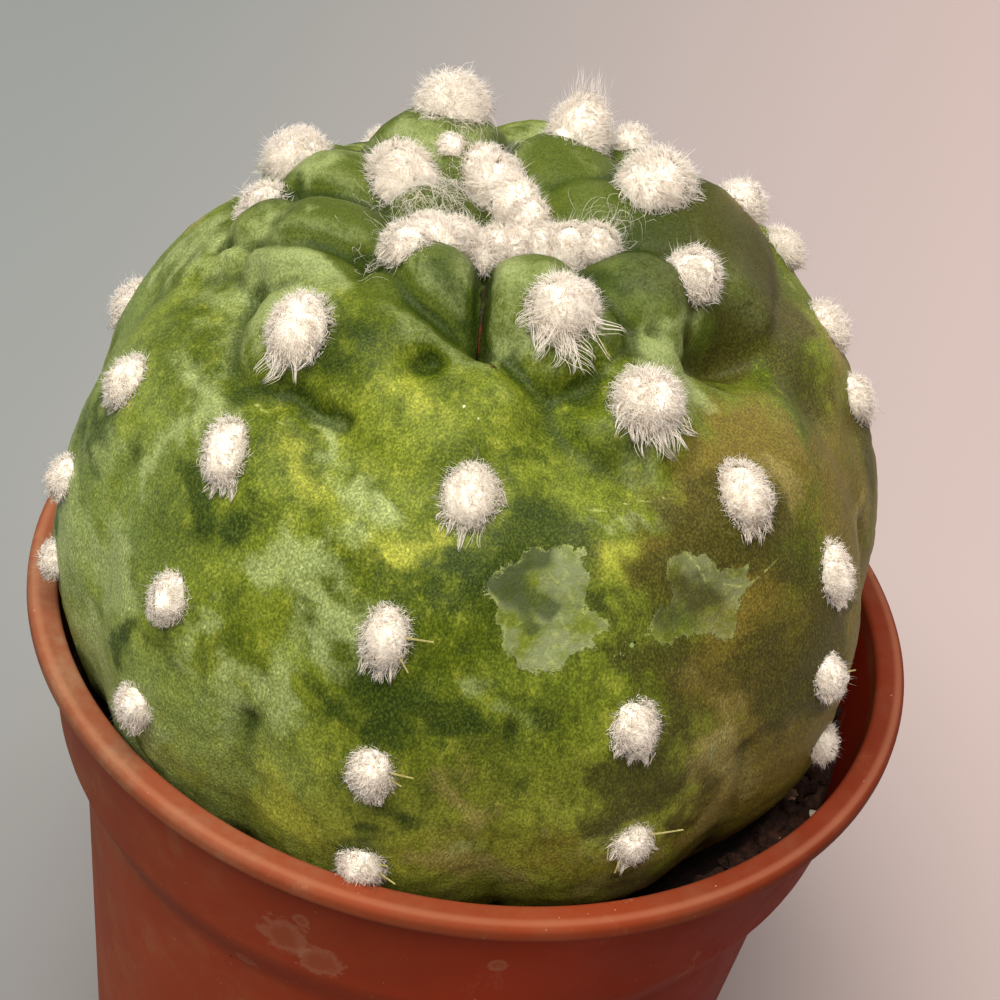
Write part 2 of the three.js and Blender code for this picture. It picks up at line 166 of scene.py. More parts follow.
# Fine grooves down the flank, as creases
FLANK_GROOVES = [
    ([(-23, 80), (-24, 112)], 0.5, 0.3),
    ([(12, 72), (14, 112)], 0.5, 0.35),
    ([(47, 84), (48, 112)], 0.6, 0.3),
    ([(-58, 60), (-59, 108)], 0.45, 0.25),
    ([(-96, 70), (-97, 110)], 0.5, 0.3),
    ([(85, 72), (86, 110)], 0.5, 0.3),
    ([(121, 76), (122, 110)], 0.5, 0.3),
    ([(158, 72), (157, 110)], 0.5, 0.3),
    ([(-166, 78), (-167, 110)], 0.5, 0.3),
    ([(-131, 72), (-131, 110)], 0.5, 0.3),
]

# Colour patches on the skin: azimuth, angle from the crown, half width across, half length, strength
YELLOW_PATCHES = [
    (-16, 93, 4.0, 3.0, 0.4),
    (-22, 98, 3.4, 2.4, 0.4),
    (29.5, 49.5, 1.2, 1.4, 0.9),
    (-6.5, 52.2, 1.5, 0.38, 0.8),
    (0, 49.4, 1.6, 0.36, 0.7),
    (-4, 50.8, 1.6, 1.0, 0.5),
    (-53, 48.8, 1.2, 0.8, 0.5),
    (-66, 58, 1.4, 1.6, 0.5),
    (-26, 46, 2.6, 1.5, 0.5),
    (-12, 35, 1.8, 1.0, 0.4),
    (-12, 53, 1.4, 1.4, 0.4),
    (23.5, 73, 0.8, 2.2, 0.5),
    (26.5, 87, 0.8, 1.0, 0.5),
    (-9.5, 80, 0.6, 1.6, 0.5),
    (-16, 91, 1.8, 4.0, 0.4),
    (14, 44, 1.8, 1.2, 0.2),
    (7, 98, 3.0, 2.0, 0.45),
]
# Dark patches: mostly the skin's own dark green; those on the crown's right, in its hollows and beside
# tufts are painted shade
DARK_PATCHES = [
    (-9, 72.5, 2.0, 1.2, 0.7),
    (50, 51, 2.0, 1.8, 0.6),
    (17, 50, 1.8, 1.4, 0.5),
    (-22, 15, 1.4, 2.4, 0.5),
    (-14, 18, 1.0, 1.4, 0.5),
    (100, 34, 3.6, 2.6, 0.9),
    (108, 23, 4.2, 3.4, 1.1),
    (68, 20, 2.0, 2.4, 0.7),
    (-104, 18, 1.4, 1.8, 0.4),
    (-125, 10, 1.8, 2.0, 0.6),
    (84, 45, 1.6, 1.4, 0.35),
    (88, 52, 1.8, 2.2, 0.7),
    (50, 53, 2.6, 1.8, 1.0),
    (38, 53.5, 2.2, 1.5, 1.0),
    (54, 58.5, 1.6, 1.4, 0.7),
    (31, 60, 1.2, 1.4, 0.7),
    (36, 65, 1.8, 1.6, 0.8),
    (15, 48, 3.4, 1.9, 1.0),
    (43, 49, 2.6, 2.0, 0.6),
    (98, 42, 3.4, 2.6, 1.2),
    (58, 71, 2.6, 3.0, 0.8),
    (60, 62, 2.0, 2.0, 0.6),
    (33, 37, 2.4, 1.6, 0.6),
    (-38, 31, 1.8, 2.4, 1.1),
    (0, 72, 2.2, 1.4, 0.9),
    (80, 35, 2.6, 1.8, 0.8),
    (90, 35, 2.6, 1.6, 0.7),
    (38, 45, 2.4, 1.2, 0.6),
    (46, 68, 2.0, 1.8, 0.7),
    (36, 90, 2.2, 1.8, 0.6),
    (94, 70, 2.4, 3.0, 0.7),
    (57, 79, 3.0, 3.4, 1.1),
    (51, 75, 2.0, 2.0, 0.7),
    (23, 85, 2.0, 2.0, 0.7),
    (34, 74, 2.0, 2.2, 0.8),
    (-5, 92.5, 2.0, 1.6, 0.8),
    (-40, 57.5, 2.3, 1.4, 1.0),
    (-45, 41, 3.0, 1.2, 0.9),
    (-70, 68, 2.0, 1.8, 0.6),
    (4, 50.8, 1.2, 0.8, 0.8),
    (0, 55.2, 2.4, 0.8, 0.6),
    (24, 55.5, 0.8, 1.0, 0.8),
    (24.5, 61.5, 1.0, 1.2, 0.8),
    (31.5, 64.6, 1.7, 0.8, 1.0),
    (30, 82, 2.2, 1.5, 1.0),
    (-45, 80, 1.1, 1.6, 0.7),
    (13, 67, 1.4, 0.8, 0.7),
    (15, 38, 2.2, 0.9, 0.5),
    (16, 60, 6.0, 5.0, 0.3),
]
# Olive patches of the sun-browned skin; those high on the crown's right also paint shade there
OLIVE_PATCHES = [
    (52, 84, 4.0, 6.0, 0.9),
    (70, 78, 5.0, 5.0, 0.9),
    (60, 46, 4.0, 4.0, 1.0),
    (42, 49, 3.6, 2.8, 1.0),
    (48, 60, 2.4, 2.4, 0.9),
    (42, 70, 3.0, 3.0, 0.9),
    (86, 64, 4.0, 4.0, 0.7),
    (100, 44, 3.0, 3.0, 0.7),
    (112, 30, 5.0, 4.0, 0.8),
    (44, 98, 4.0, 3.0, 1.0),
    (20, 94, 2.0, 4.0, 0.5),
    (36, 53, 1.6, 1.4, 0.5),
]
TAN_PATCHES = [
    (44, 86, 1.6, 4.2, 0.8),
    (29, 99, 2.0, 2.2, 0.6),
    (65, 73, 1.6, 2.2, 0.7),
    (40, 82.5, 2.0, 1.3, 1.0),
    (42, 74.5, 1.3, 1.5, 0.6),
    (43, 94, 2.0, 3.4, 0.7),
    (59, 52, 1.1, 1.8, 0.8),
    (28, 100, 3.0, 1.8, 0.8),
    (9, 97, 2.6, 2.4, 0.8),
    (6, 84, 1.5, 2.8, 0.6),
    (17.5, 85, 1.2, 2.2, 0.3),
    (38, 68, 1.4, 1.2, 0.5),
    (82, 72, 3.0, 3.0, 0.6),
]
# Pale patches of waxy bloom; those low on the flank near the pot's lip paint light over its shade
PALE_PATCHES = [
    (-51, 95, 2.4, 2.6, 0.5),
    (24, 92, 1.4, 3.0, 0.35),
    (42, 84, 1.2, 3.4, 0.35),
    (-64, 34, 2.6, 1.9, 1.3),
    (14, 13.5, 2.4, 2.0, 0.6),
    (14, 24.5, 1.8, 1.2, 0.8),
    (-43, 100, 2.4, 1.5, 1.0),
    (-84, 32, 2.6, 2.2, 0.7),
    (-112, 31, 2.4, 1.8, 0.7),
    (-25, 81, 1.8, 1.6, 0.7),
    (-16, 58, 1.6, 1.4, 0.7),
    (-40, 92, 2.2, 2.0, 0.7),
    (10, 93, 1.2, 1.8, 0.6),
    (-66, 63, 1.6, 1.4, 0.6),
    (38, 40, 1.8, 1.0, 0.6),
    (-62, 27, 2.6, 1.6, 0.9),
    (-76, 37, 3.0, 2.4, 0.7),
    (-92, 44, 3.0, 3.0, 0.6),
    (-55, 47.5, 2.4, 1.6, 1.0),
    (-100, 50, 2.6, 2.6, 0.7),
    (-128, 38, 2.4, 2.0, 0.8),
    (-150, 24, 3.0, 2.4, 0.7),
    (-130, 30, 2.4, 1.6, 0.4),
    (53, 29, 1.8, 2.2, 0.9),
    (58, 33, 1.2, 1.6, 0.8),
    (140, 22, 2.0, 1.6, 0.6),
    (13, 21.5, 2.0, 1.4, 0.6),
    (-21, 58.5, 2.2, 1.8, 1.0),
    (-13, 65, 2.0, 1.6, 0.7),
    (-16, 48.5, 1.1, 1.7, 0.8),
    (-54, 57, 1.1, 2.8, 0.9),
    (-52, 75, 2.4, 2.6, 0.9),
    (-20, 72.5, 1.9, 2.3, 0.7),
    (-31, 72, 1.0, 2.0, 0.5),
    (-66, 82, 3.0, 4.0, 0.8),
    (-52, 96, 3.2, 3.0, 1.5),
    (72, 26.5, 3.4, 0.5, 0.6),
    (92, 27.5, 2.4, 0.5, 0.5),
    (8, 68, 1.1, 0.9, 0.6),
    (-26, 42, 2.4, 0.5, 0.9),
    (28, 44.5, 3.0, 0.35, 0.7),
    (-36, 74, 1.6, 0.8, 0.4),
]
# Random patches of the sides and the back: how many of each kind, and their places, sizes and strengths
UNSEEN_PATCHES = {"yellow": 12, "dark": 24, "tan": 12, "bloom": 20}
UNSEEN_AZIMUTHS = (104, 266)
UNSEEN_POLARS = (34, 100)
UNSEEN_SIZES = (0.8, 2.8)
UNSEEN_STRENGTHS = (0.5, 1.0)
# How the patches' outlines wander: waves around the globe and reach in millimetres
WANDERINGS = [(11, 0.7), (22, 0.55), (45, 0.4), (90, 0.25)]
# Where the skin is thickly speckled, in the same form
SPECKLED_PATCHES = [
    (-20, 50, 6.5, 4.6, 1.0),
    (-8, 38, 3.0, 2.4, 0.7),
    (12, 72, 4.0, 4.0, 0.5),
    (-20, 80, 5.0, 6.0, 0.4),
]
# Thin pale scars: lines of (azimuth, angle from the crown) places
SCARS = [
    [(-5.8, 40.5), (-5.2, 43), (-5.9, 46.5)],
    [(-23, 76.5), (-20, 78), (-18.4, 77.6), (-16, 75.5)],
    [(22, 43.6), (27, 44.8), (33, 44.4), (38, 45.2), (44, 44.2)],
    [(45, 58.3), (48, 59.6), (52, 59.3), (55, 58.4)],
    [(26, 62.6), (27.2, 60.8), (29, 60.1), (30.8, 60.6)],
    [(-58, 82), (-56.6, 81.6)],
    [(-44, 43), (-36, 42.6), (-28, 40.6), (-23, 41)],
    [(46, 51), (48, 52.6), (50, 52.4)],
    [(39, 52), (41, 54.4), (42, 57)],
]

# Corky scabs: outlines as (azimuth, angle from the crown)
SCABS = [
    [(6.6, 54), (8, 51.8), (9.5, 50.5), (12, 49.6), (13, 48.3), (16, 48.9), (19, 48.2), (22.4, 49.3),
     (22, 51), (22.8, 53), (21.4, 56.4), (25, 57.5), (25.4, 59), (22.6, 60), (22.4, 61), (20.4, 61.8),
     (18, 63.6),
     (14.5, 64.4), (12.6, 63.8), (11.6, 62.4), (10.3, 60.5), (10, 58.6), (8.4, 57.4), (8.6, 55.6)],
    [(34.8, 53), (38, 51.6), (43, 53.5), (44.6, 56), (49, 57.4), (49.4, 59.4), (46.6, 61), (46, 64),
     (44, 66.2), (41.4, 64), (38.8, 62.6), (33, 62.6), (30, 60.4), (33, 58), (36.4, 57)],
    [(118, 55), (126, 52), (133, 57), (128, 63), (120, 62)],
    [(-104, 82), (-96, 79), (-92, 86), (-99, 90)],
]
# Where the scabs have nearly worn off, as patches
WORN_SCABS = [(38, 57, 4.5, 3.6, 1.0)]

# Wool: the width of a tuft by its angle from the crown, and how it is drawn out down the flank
WOOL_WIDTHS = [(20, 4.5), (36, 4.0), (50, 3.1), (62, 2.8), (95, 2.35)]
WIDEST_TUFT = 4.5
OLD_WOOL_ANGLE = 95
OVAL_ANGLES = (30, FLANK_ANGLE)
ROUND_AGAIN_ANGLES = (74, 86)
WOOL_LENGTHENING = 0.35
# Height for the width, of tufts near the crown and on the flank, and the angles between them
WOOL_RISE = (0.62, 0.5)
WOOL_RISE_ANGLES = (24, 44)
WOOL_SINK = 0.15
WOOL_UPWARD_TURN = 0.45
# The shares of a tuft's hairs that lie felted, stand out and hang down, and how the hanging ones turn
FELT_SHARE = 0.56
FRINGE_SHARE = 0.72
BEARD_SHARE = 0.1
BEARD_JOINTS = 5
BEARD_LENGTH = 0.27
BEARD_LEAN = 0.15
BEARD_TURN = 0.75
HAIRS_PER_WISP = 7
# How brown the lower end of a tuft on the flank is
WOOL_STAIN = 0.15
# Tufts that differ, by rib and angle from the crown: width and hanging hairs' length in millimetres,
# lengthening, turn in degrees, height and stain as shares, and wicks, which are a few longer hairs
# given as hairs, length, lean across and uphill, and spread
OWN_WOOL = {
    (31, 18.8): {"width": 4.4, "beard": 3.0},
    (31, 33.5): {"width": 4.2, "beard": 2.2},
    (31, 72): {"width": 3.0, "beard": 1.1},
    (31, 91): {"width": 2.6, "beard": 1.3},
    (67, 25.6): {"width": 3.6},
    (67, 49): {"width": 3.4, "beard": 1.2, "stain": 0.75},
    (67, 66): {"lengthening": 1.75},
    (67, 80): {"lengthening": 1.4},
    (67, 95): {"lengthening": 1.3},
    (103, 53): {"width": 3.1},
    (139, 22): {"width": 5.0, "height": 0.95, "wick": (3, 3.2, -0.75, 0.2, 0.05)},
    (139, 34.8): {"width": 3.2},
    (139, 48): {"width": 2.8},
    (175, 24.7): {"width": 4.1, "height": 1.3, "wick": (70, 2.3, 0.1, 0.15, 0.16)},
    (175, 33): {"width": 2.8},
    (-149, 28): {"width": 4.9},
    (-113, 21): {"width": 5.0, "height": 1.15},
    (-113, 38.5): {"width": 4.3},
    (-113, 74): {"width": 3.4},
    (-77, 37.4): {"width": 3.5},
    (-41, 32.3): {"width": 3.8, "beard": 1.7, "lengthening": 1.28, "turn": 30},
    (-41, 49.5): {"width": 3.0, "beard": 1.2, "lengthening": 1.5, "turn": 32},
    (-41, 88): {"width": 2.85},
    (-5, 43): {"width": 3.5, "beard": 1.5},
    (-5, 61): {"width": 3.0, "beard": 1.1},
    (-5, 79): {"width": 2.85},
    (-5, 96): {"width": 3.0},
}
# The crown's wool has grown together: azimuth, angle from the crown, width of each part
CROWN_WOOL = [
    (-52, 15, 3.0),
    (-65, 10.7, 3.7),
    (-91, 7.1, 3.3),
    (-98, 3.9, 3.2),
    (-163, 2.6, 3.2),
    (138, 3.6, 3.2),
    (111, 6.3, 3.5),
    (98, 9.6, 3.6),
    (98, 13, 3.0),
    (-163, 18, 3.5),
    (-169, 14.4, 4.1),
    (179, 8.8, 3.3),
    (154, 6.7, 2.6),
    (-150, 20, 1.8),
]
# Loose hairs over the crown: azimuth, angle from the crown, reach in millimetres, hairs
STRAY_WOOL = [
    (-128, 12, 1.5, 240),
    (-100, 12.5, 1.2, 110),
    (-160, 21, 1.0, 60),
    (-60, 17.5, 0.9, 60),
    (105, 15, 0.9, 40),
]
STRAY_JOINTS = 6
CROWN_WOOL_BEARD = 0.8
CROWN_WICK = {(98, 13): (12, 1.8, 0.1, -0.5, 0.25)}
# Spines: azimuth and angle from the crown of their areole, turn about it, lean from it, length
SPINES = [
    (-5, 79, 12, 64, 2.7),
    (-5, 79, -8, 66, 2.0),
    (-5, 96, -6, 62, 2.4),
    (-5, 96, 24, 60, 1.9),
    (-6, 61, 12, 66, 2.9),
    (-6, 61, -40, 62, 2.4),
    (29, 91, 12, 62, 3.0),
    (29, 91, 229, 70, 2.1),
    (61.5, 80, -20, 62, 2.0),
    (138, 88, -15, 60, 2.5),
    (175, 95, 30, 60, 2.4),
    (174, 74, 200, 62, 2.5),
    (-148, 87, -10, 60, 2.5),
    (-148, 87, 170, 60, 2.4),
    (-112, 91, 15, 60, 2.4),
]
SPINE_SEAT = 2.5
SPINE_SIDES = 8
SPINE_TIP_SHARE = 0.55
SPINE_ROUNDING = 0.4


def random_draws(*stream):
    return np.random.default_rng([SEED, *stream])


def unit(vectors):
    """The vectors at length 1, along the last axis."""
    return vectors / np.linalg.norm(vectors, axis=-1, keepdims=True)


def smoothstep(value, low, high):
    share = np.clip((value - low) / (high - low), 0, 1)
    return share * share * (3 - 2 * share)


def lerp(low, high, share):
    return low + (high - low) * share


def direction_of(azimuth, polar):
    """The unit direction in the globe's frame for an azimuth and an angle from the crown."""
    a = np.radians(np.asarray(azimuth, float))
    p = np.radians(np.asarray(polar, float))
    return np.stack([np.sin(p) * np.sin(a), -np.sin(p) * np.cos(a), np.cos(p)], axis=-1)


def polar_of(towards):
    return np.degrees(np.arccos(np.clip(towards[:, 2], -1, 1)))


def lean_matrix():
    """The plant's small lean in the pot, forwards and then to the left."""
    turn_x = Matrix.Rotation(math.radians(LEAN_FORWARD), 3, "X")
    turn_y = Matrix.Rotation(-math.radians(LEAN_LEFT), 3, "Y")
    return np.array(turn_x @ turn_y)


def place_plant(points):
    """Points in the globe's frame, in millimetres, moved to the row's frame in metres."""
    return (points @ lean_matrix().T + GLOBE_CENTRE) * MM


def line_distance(towards, line):
    """How far each direction lies from a line of (azimuth, angle) places, in millimetres."""
    nearest = np.full(len(towards), 2.0)
    places = direction_of(*np.array(line, float).T)
    for first, second in zip(places, places[1:]):
        along = second - first
        share = np.clip(((towards - first) @ along) / (along @ along), 0, 1)
        away = np.linalg.norm(towards - first - share[:, None] * along, axis=1)
        nearest = np.minimum(nearest, away)
    return GROOVE_RADIUS * nearest


def along_lines(towards, lines):
    """The summed swell of soft lines, each at its own height."""
    swell = np.zeros(len(towards))
    for line, half_width, height in lines:
        swell += height * np.exp(-((line_distance(towards, line) / half_width) ** 2))
    return swell


def rib_areoles():
    """Every areole on the ribs as (azimuth, angle from the crown)."""
    return [(rib + lean, polar) for rib, places in RIBS.items() for polar, lean in places]


def domes():
    """The tubercles and the rib domes under the lower areoles, which melt into one relief."""
    crown = [(azimuth, polar, height, height / radius**2, 1, True)
             for azimuth, polar, radius, height in TUBERCLES]
    flank = [(azimuth, polar, RIB_HEIGHT, RIB_FALL, RIB_STRETCH, False)
             for azimuth, polar in rib_areoles() if polar > RIB_TOP_ANGLE]
    return crown + flank


def globe_radius(towards):
    """The skin's distance from the globe's centre towards each direction, in millimetres."""
    polar = polar_of(towards)
    floor_rise = (GROOVE_RADIUS - CROWN_RADIUS) * smoothstep(polar, CROWN_ANGLE, FLANK_ANGLE)
    total = np.ones(len(towards))
    for azimuth, angle, height, fall, stretch, from_floor in domes():
        centre = direction_of(azimuth, angle)
        across = direction_of(azimuth + 90, 90)
        along = np.cross(across, centre)
        sideways = GROOVE_RADIUS * (towards @ across)
        lengthways = GROOVE_RADIUS * stretch * (towards @ along)
        top = height - floor_rise if from_floor else height
        bump = np.exp(MELT * (top - fall * (sideways**2 + lengthways**2)))
        total += np.where(towards @ centre < DOME_REACH_COSINE, 0, bump)
    fade = 1 - smoothstep(polar, *RIB_FADE)
    dent = CROWN_DENT * np.exp(-((polar / CROWN_DENT_ANGLE) ** 2))
    radius = CROWN_RADIUS + floor_rise - dent + fade * np.log(total) / MELT
    for azimuth, angle, reach, depth in PITS:
        distance = GROOVE_RADIUS * np.linalg.norm(towards - direction_of(azimuth, angle), axis=1)
        radius -= depth * np.exp(-((distance / reach) ** 2))
    return radius - along_lines(towards, CREASES + FLANK_GROOVES) + along_lines(towards, CRESTS)


def skin_points(towards):
    """The skin's points towards each direction, with the globe's underside flattened."""
    points = towards * globe_radius(towards)[:, None]
    below = np.minimum(0, points[:, 2] - FLATTEN_BELOW)
    points[:, 2] += FLATTEN_RATE * below**2
    return points


def wavy(points, rng, waves):
    """A smooth random field of vectors over the points."""
    turns = rng.normal(0, waves, (3, 3))
    phases = rng.uniform(0, 2 * math.pi, 3)
    return np.sin(points @ turns.T + phases)


def wander(towards):
    """Directions moved a little to and fro, which gives whatever is painted by them a torn outline."""
    rng = random_draws(WANDER_STREAM)
    moved = towards.copy()
    for waves, reach in WANDERINGS:
        moved += reach / GROOVE_RADIUS * wavy(towards, rng, waves)
    return unit(moved)


def patch(towards, azimuth, polar, half_width, half_length):
    """A soft oval spot on the skin, 1 at its middle and 0 well outside it."""
    centre = direction_of(azimuth, polar)
    across = direction_of(azimuth + 90, 90)
    along = np.cross(across, centre)
    sideways = GROOVE_RADIUS * (towards @ across) / half_width
    lengthways = GROOVE_RADIUS * (towards @ along) / half_length
    spot = np.exp(-(sideways**2 + lengthways**2))
    return np.where(towards @ centre > 0, spot, 0)


def unseen_patches(kind):
    """Random patches on the sides and the back, which the photograph doesn't show."""
    rng = random_draws(UNSEEN_STREAM, *kind.encode())
    count = UNSEEN_PATCHES[kind]
    azimuths = rng.uniform(*UNSEEN_AZIMUTHS, count)
    polars = rng.uniform(*UNSEEN_POLARS, count)
    sizes = rng.uniform(*UNSEEN_SIZES, (2, count))
    strengths = rng.uniform(*UNSEEN_STRENGTHS, count)
    return list(zip(azimuths, polars, *sizes, strengths))


def patches(towards, places):
    """Several spots laid over each other, from 0 to 1."""
    cover = np.zeros(len(towards))
    for azimuth, polar, half_width, half_length, strength in places:
        spot = strength * patch(towards, azimuth, polar, half_width, half_length)
        cover = 1 - (1 - cover) * (1 - spot)
    return cover


def scab_depth(towards):
    """How far inside the nearest scab's outline each direction lies, in millimetres, negative outside."""
    azimuth = np.degrees(np.arctan2(towards[:, 0], -towards[:, 1]))
    polar = polar_of(towards)
    deepest = np.full(len(towards), -GROOVE_RADIUS)
    per_degree = GROOVE_RADIUS * math.pi / 180
    for outline in SCABS:
        centre_azimuth, centre_polar = np.mean(outline, axis=0)
        shrink = math.sin(math.radians(centre_polar))
        turn = (azimuth - centre_azimuth + 180) % 360 - 180
        place = np.stack([turn * shrink, polar - centre_polar], axis=1) * per_degree
        corners = (np.array(outline) - (centre_azimuth, centre_polar)) * (shrink, 1) * per_degree
        inside = np.zeros(len(place), bool)
        nearest = np.full(len(place), GROOVE_RADIUS)
        for a, b in zip(corners, np.roll(corners, -1, axis=0)):
            edge = b - a
            share = np.clip(((place - a) @ edge) / (edge @ edge), 0, 1)
            nearest = np.minimum(nearest, np.linalg.norm(place - a - share[:, None] * edge, axis=1))
            spans = (a[1] > place[:, 1]) != (b[1] > place[:, 1])
            rise = edge[1] if edge[1] else 1e-9
            inside ^= spans & (place[:, 0] < a[0] + (place[:, 1] - a[1]) * edge[0] / rise)
        deepest = np.maximum(deepest, np.where(inside, nearest, -nearest))
    return deepest


def object_mode():
    if bpy.context.object and bpy.context.object.mode != "OBJECT":
        bpy.ops.object.mode_set(mode="OBJECT")


def deselect_all():
    object_mode()
    bpy.ops.object.select_all(action="DESELECT")


def take_active(name):
    """Names the piece that is active, and puts its place, turn and size into its mesh."""
    piece = bpy.context.object
    piece.name = name
    piece.data.name = name
    bpy.ops.object.transform_apply(location=True, rotation=True, scale=True)
    return piece


def select_only(piece):
    deselect_all()
    piece.select_set(True)
    bpy.context.view_layer.objects.active = piece


def apply_modifiers(piece):
    select_only(piece)
    for modifier in list(piece.modifiers):
        bpy.ops.object.modifier_apply(modifier=modifier.name)


def points_of(piece):
    """The piece's vertices as an array."""
    flat = np.empty(len(piece.data.vertices) * 3)
    piece.data.vertices.foreach_get("co", flat)
    return flat.reshape(-1, 3)


def set_points(piece, points):
    piece.data.vertices.foreach_set("co", np.ascontiguousarray(points, float).ravel())
    piece.data.update()


def set_attribute(piece, name, values):
    """Keeps one number a vertex under a name that the piece's material reads."""
    attribute = piece.data.attributes.new(name, "FLOAT", "POINT")
    attribute.data.foreach_set("value", np.asarray(values, np.float32))


def joined(parts):
    """Puts parts of points, faces and vertex values together into one."""
    points, faces, *values = zip(*parts)
    starts = np.cumsum([0, *map(len, points[:-1])])
    faces = [part + start for part, start in zip(faces, starts)]
    return [np.concatenate(group) for group in (points, faces, *values)]


def mesh_piece(name, points, faces):
    """A new object from points in metres and faces."""
    mesh = bpy.data.meshes.new(name)
    mesh.from_pydata(points.tolist(), [], np.asarray(faces).tolist())
    piece = bpy.data.objects.new(name, mesh)
    bpy.context.scene.collection.objects.link(piece)
    return piece


def shade_smooth(piece):
    select_only(piece)
    bpy.ops.object.shade_smooth()


def clouds_displace(piece, name, size, height):
    """Roughens a piece with soft clouds of a size and height in metres."""
    texture = bpy.data.textures.new(name, "CLOUDS")
    texture.noise_scale = size
    texture.noise_depth = 2
    modifier = piece.modifiers.new(name, "DISPLACE")
    modifier.texture = texture
    modifier.texture_coords = "LOCAL"
    modifier.strength = height
    modifier.mid_level = 0.5


def finish_piece(piece, material, slot, *nodes):
    """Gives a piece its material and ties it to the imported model."""
    piece.data.materials.clear()
    piece.data.materials.append(material)
    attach(piece, BODY)
    if nodes:
        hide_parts(*nodes)
    return piece


class Nodes:
    """Builds a material's node tree, a node a call."""

    def __init__(self, name):
        self.material = bpy.data.materials.new(name)
        self.material.use_nodes = True
        self.tree = self.material.node_tree
        self.tree.nodes.clear()
        self.output = self.tree.nodes.new("ShaderNodeOutputMaterial")

    def add(self, kind, inputs=None, **settings):
        node = self.tree.nodes.new(kind)
        for key, value in settings.items():
            setattr(node, key, value)
        for key, value in (inputs or {}).items():
            self.feed(node.inputs[key], value)
        return node

    def feed(self, socket, value):
        if isinstance(value, bpy.types.NodeSocket):
            self.tree.links.new(value, socket)
        else:
            socket.default_value = value

    def coordinates(self, scale=(1, 1, 1)):
        place = self.add("ShaderNodeTexCoord").outputs["Object"]
        return self.add("ShaderNodeMapping", {"Vector": place, "Scale": scale}).outputs[0]

    def noise(self, vector, size, detail=3, roughness=0.55):
        """Noise from about 0 to 1 whose features have that size in metres."""
        inputs = {"Vector": vector, "Scale": 1 / size, "Detail": detail, "Roughness": roughness}
        return self.add("ShaderNodeTexNoise", inputs).outputs["Fac"]

    def attribute(self, name):
        return self.add("ShaderNodeAttribute", attribute_name=name).outputs["Fac"]

    def step(self, value, low, high):
        """Ramps smoothly from 0 at low to 1 at high."""
        inputs = {"Value": value, "From Min": low, "From Max": high}
        return self.add(
            "ShaderNodeMapRange", inputs, interpolation_type="SMOOTHSTEP"
        ).outputs["Result"]

    def math(self, operation, first, second=0.0):
        node = self.add("ShaderNodeMath", operation=operation)
        self.feed(node.inputs[0], first)
        self.feed(node.inputs[1], second)
        return node.outputs[0]

    def part(self, share, amount):
        return self.math("MULTIPLY", share, amount)

    def plus(self, first, second):
        return self.math("ADD", first, second)

    def minus(self, first, second):
        return self.math("SUBTRACT", first, second)

    def distance(self, place, point):
        inputs = {0: place, 1: tuple(point)}
        return self.add("ShaderNodeVectorMath", inputs, operation="DISTANCE").outputs["Value"]

    def axis(self, place, letter):
        return self.add("ShaderNodeSeparateXYZ", {"Vector": place}).outputs[letter]

    def tinted(self, colour, factors):
        """The colour with its channels scaled."""
        return self.mix(1.0, colour, opaque(factors), "MULTIPLY")

    def mix(self, share, first, second, blend="MIX"):
        """One colour over another, by a share."""
        node = self.add("ShaderNodeMix", data_type="RGBA", blend_type=blend)
        self.feed(node.inputs[0], share)
        self.feed(node.inputs[6], first)
        self.feed(node.inputs[7], second)
        return node.outputs[2]

    def bump(self, height, distance, strength=1.0, normal=None):
        inputs = {"Height": height, "Distance": distance, "Strength": strength}
        if normal is not None:
            inputs["Normal"] = normal
        return self.add("ShaderNodeBump", inputs).outputs["Normal"]

    def finish(self, **inputs):
        """Adds the surface shader and links it to the output."""
        shader = self.add("ShaderNodeBsdfPrincipled")
        for key, value in inputs.items():
            self.feed(shader.inputs[key.replace("_", " ")], value)
        self.tree.links.new(shader.outputs[0], self.output.inputs["Surface"])
        return self.material


def opaque(colour):
    return (*colour, 1.0)


def scaled(colour, factors):
    return tuple(c * factor for c, factor in zip(colour, factors))


def colour_property(name, description, default):
    return FloatVectorProperty(
        name=name, description=description, default=default, size=3, min=0, max=1, subtype="COLOR",
    )


def length_property(name, description, default):
    return FloatProperty(name=name, description=description, default=default, min=0, unit="LENGTH")


def power_property(name, description, default):
    return FloatProperty(name=name, description=description, default=default, min=0, unit="POWER")


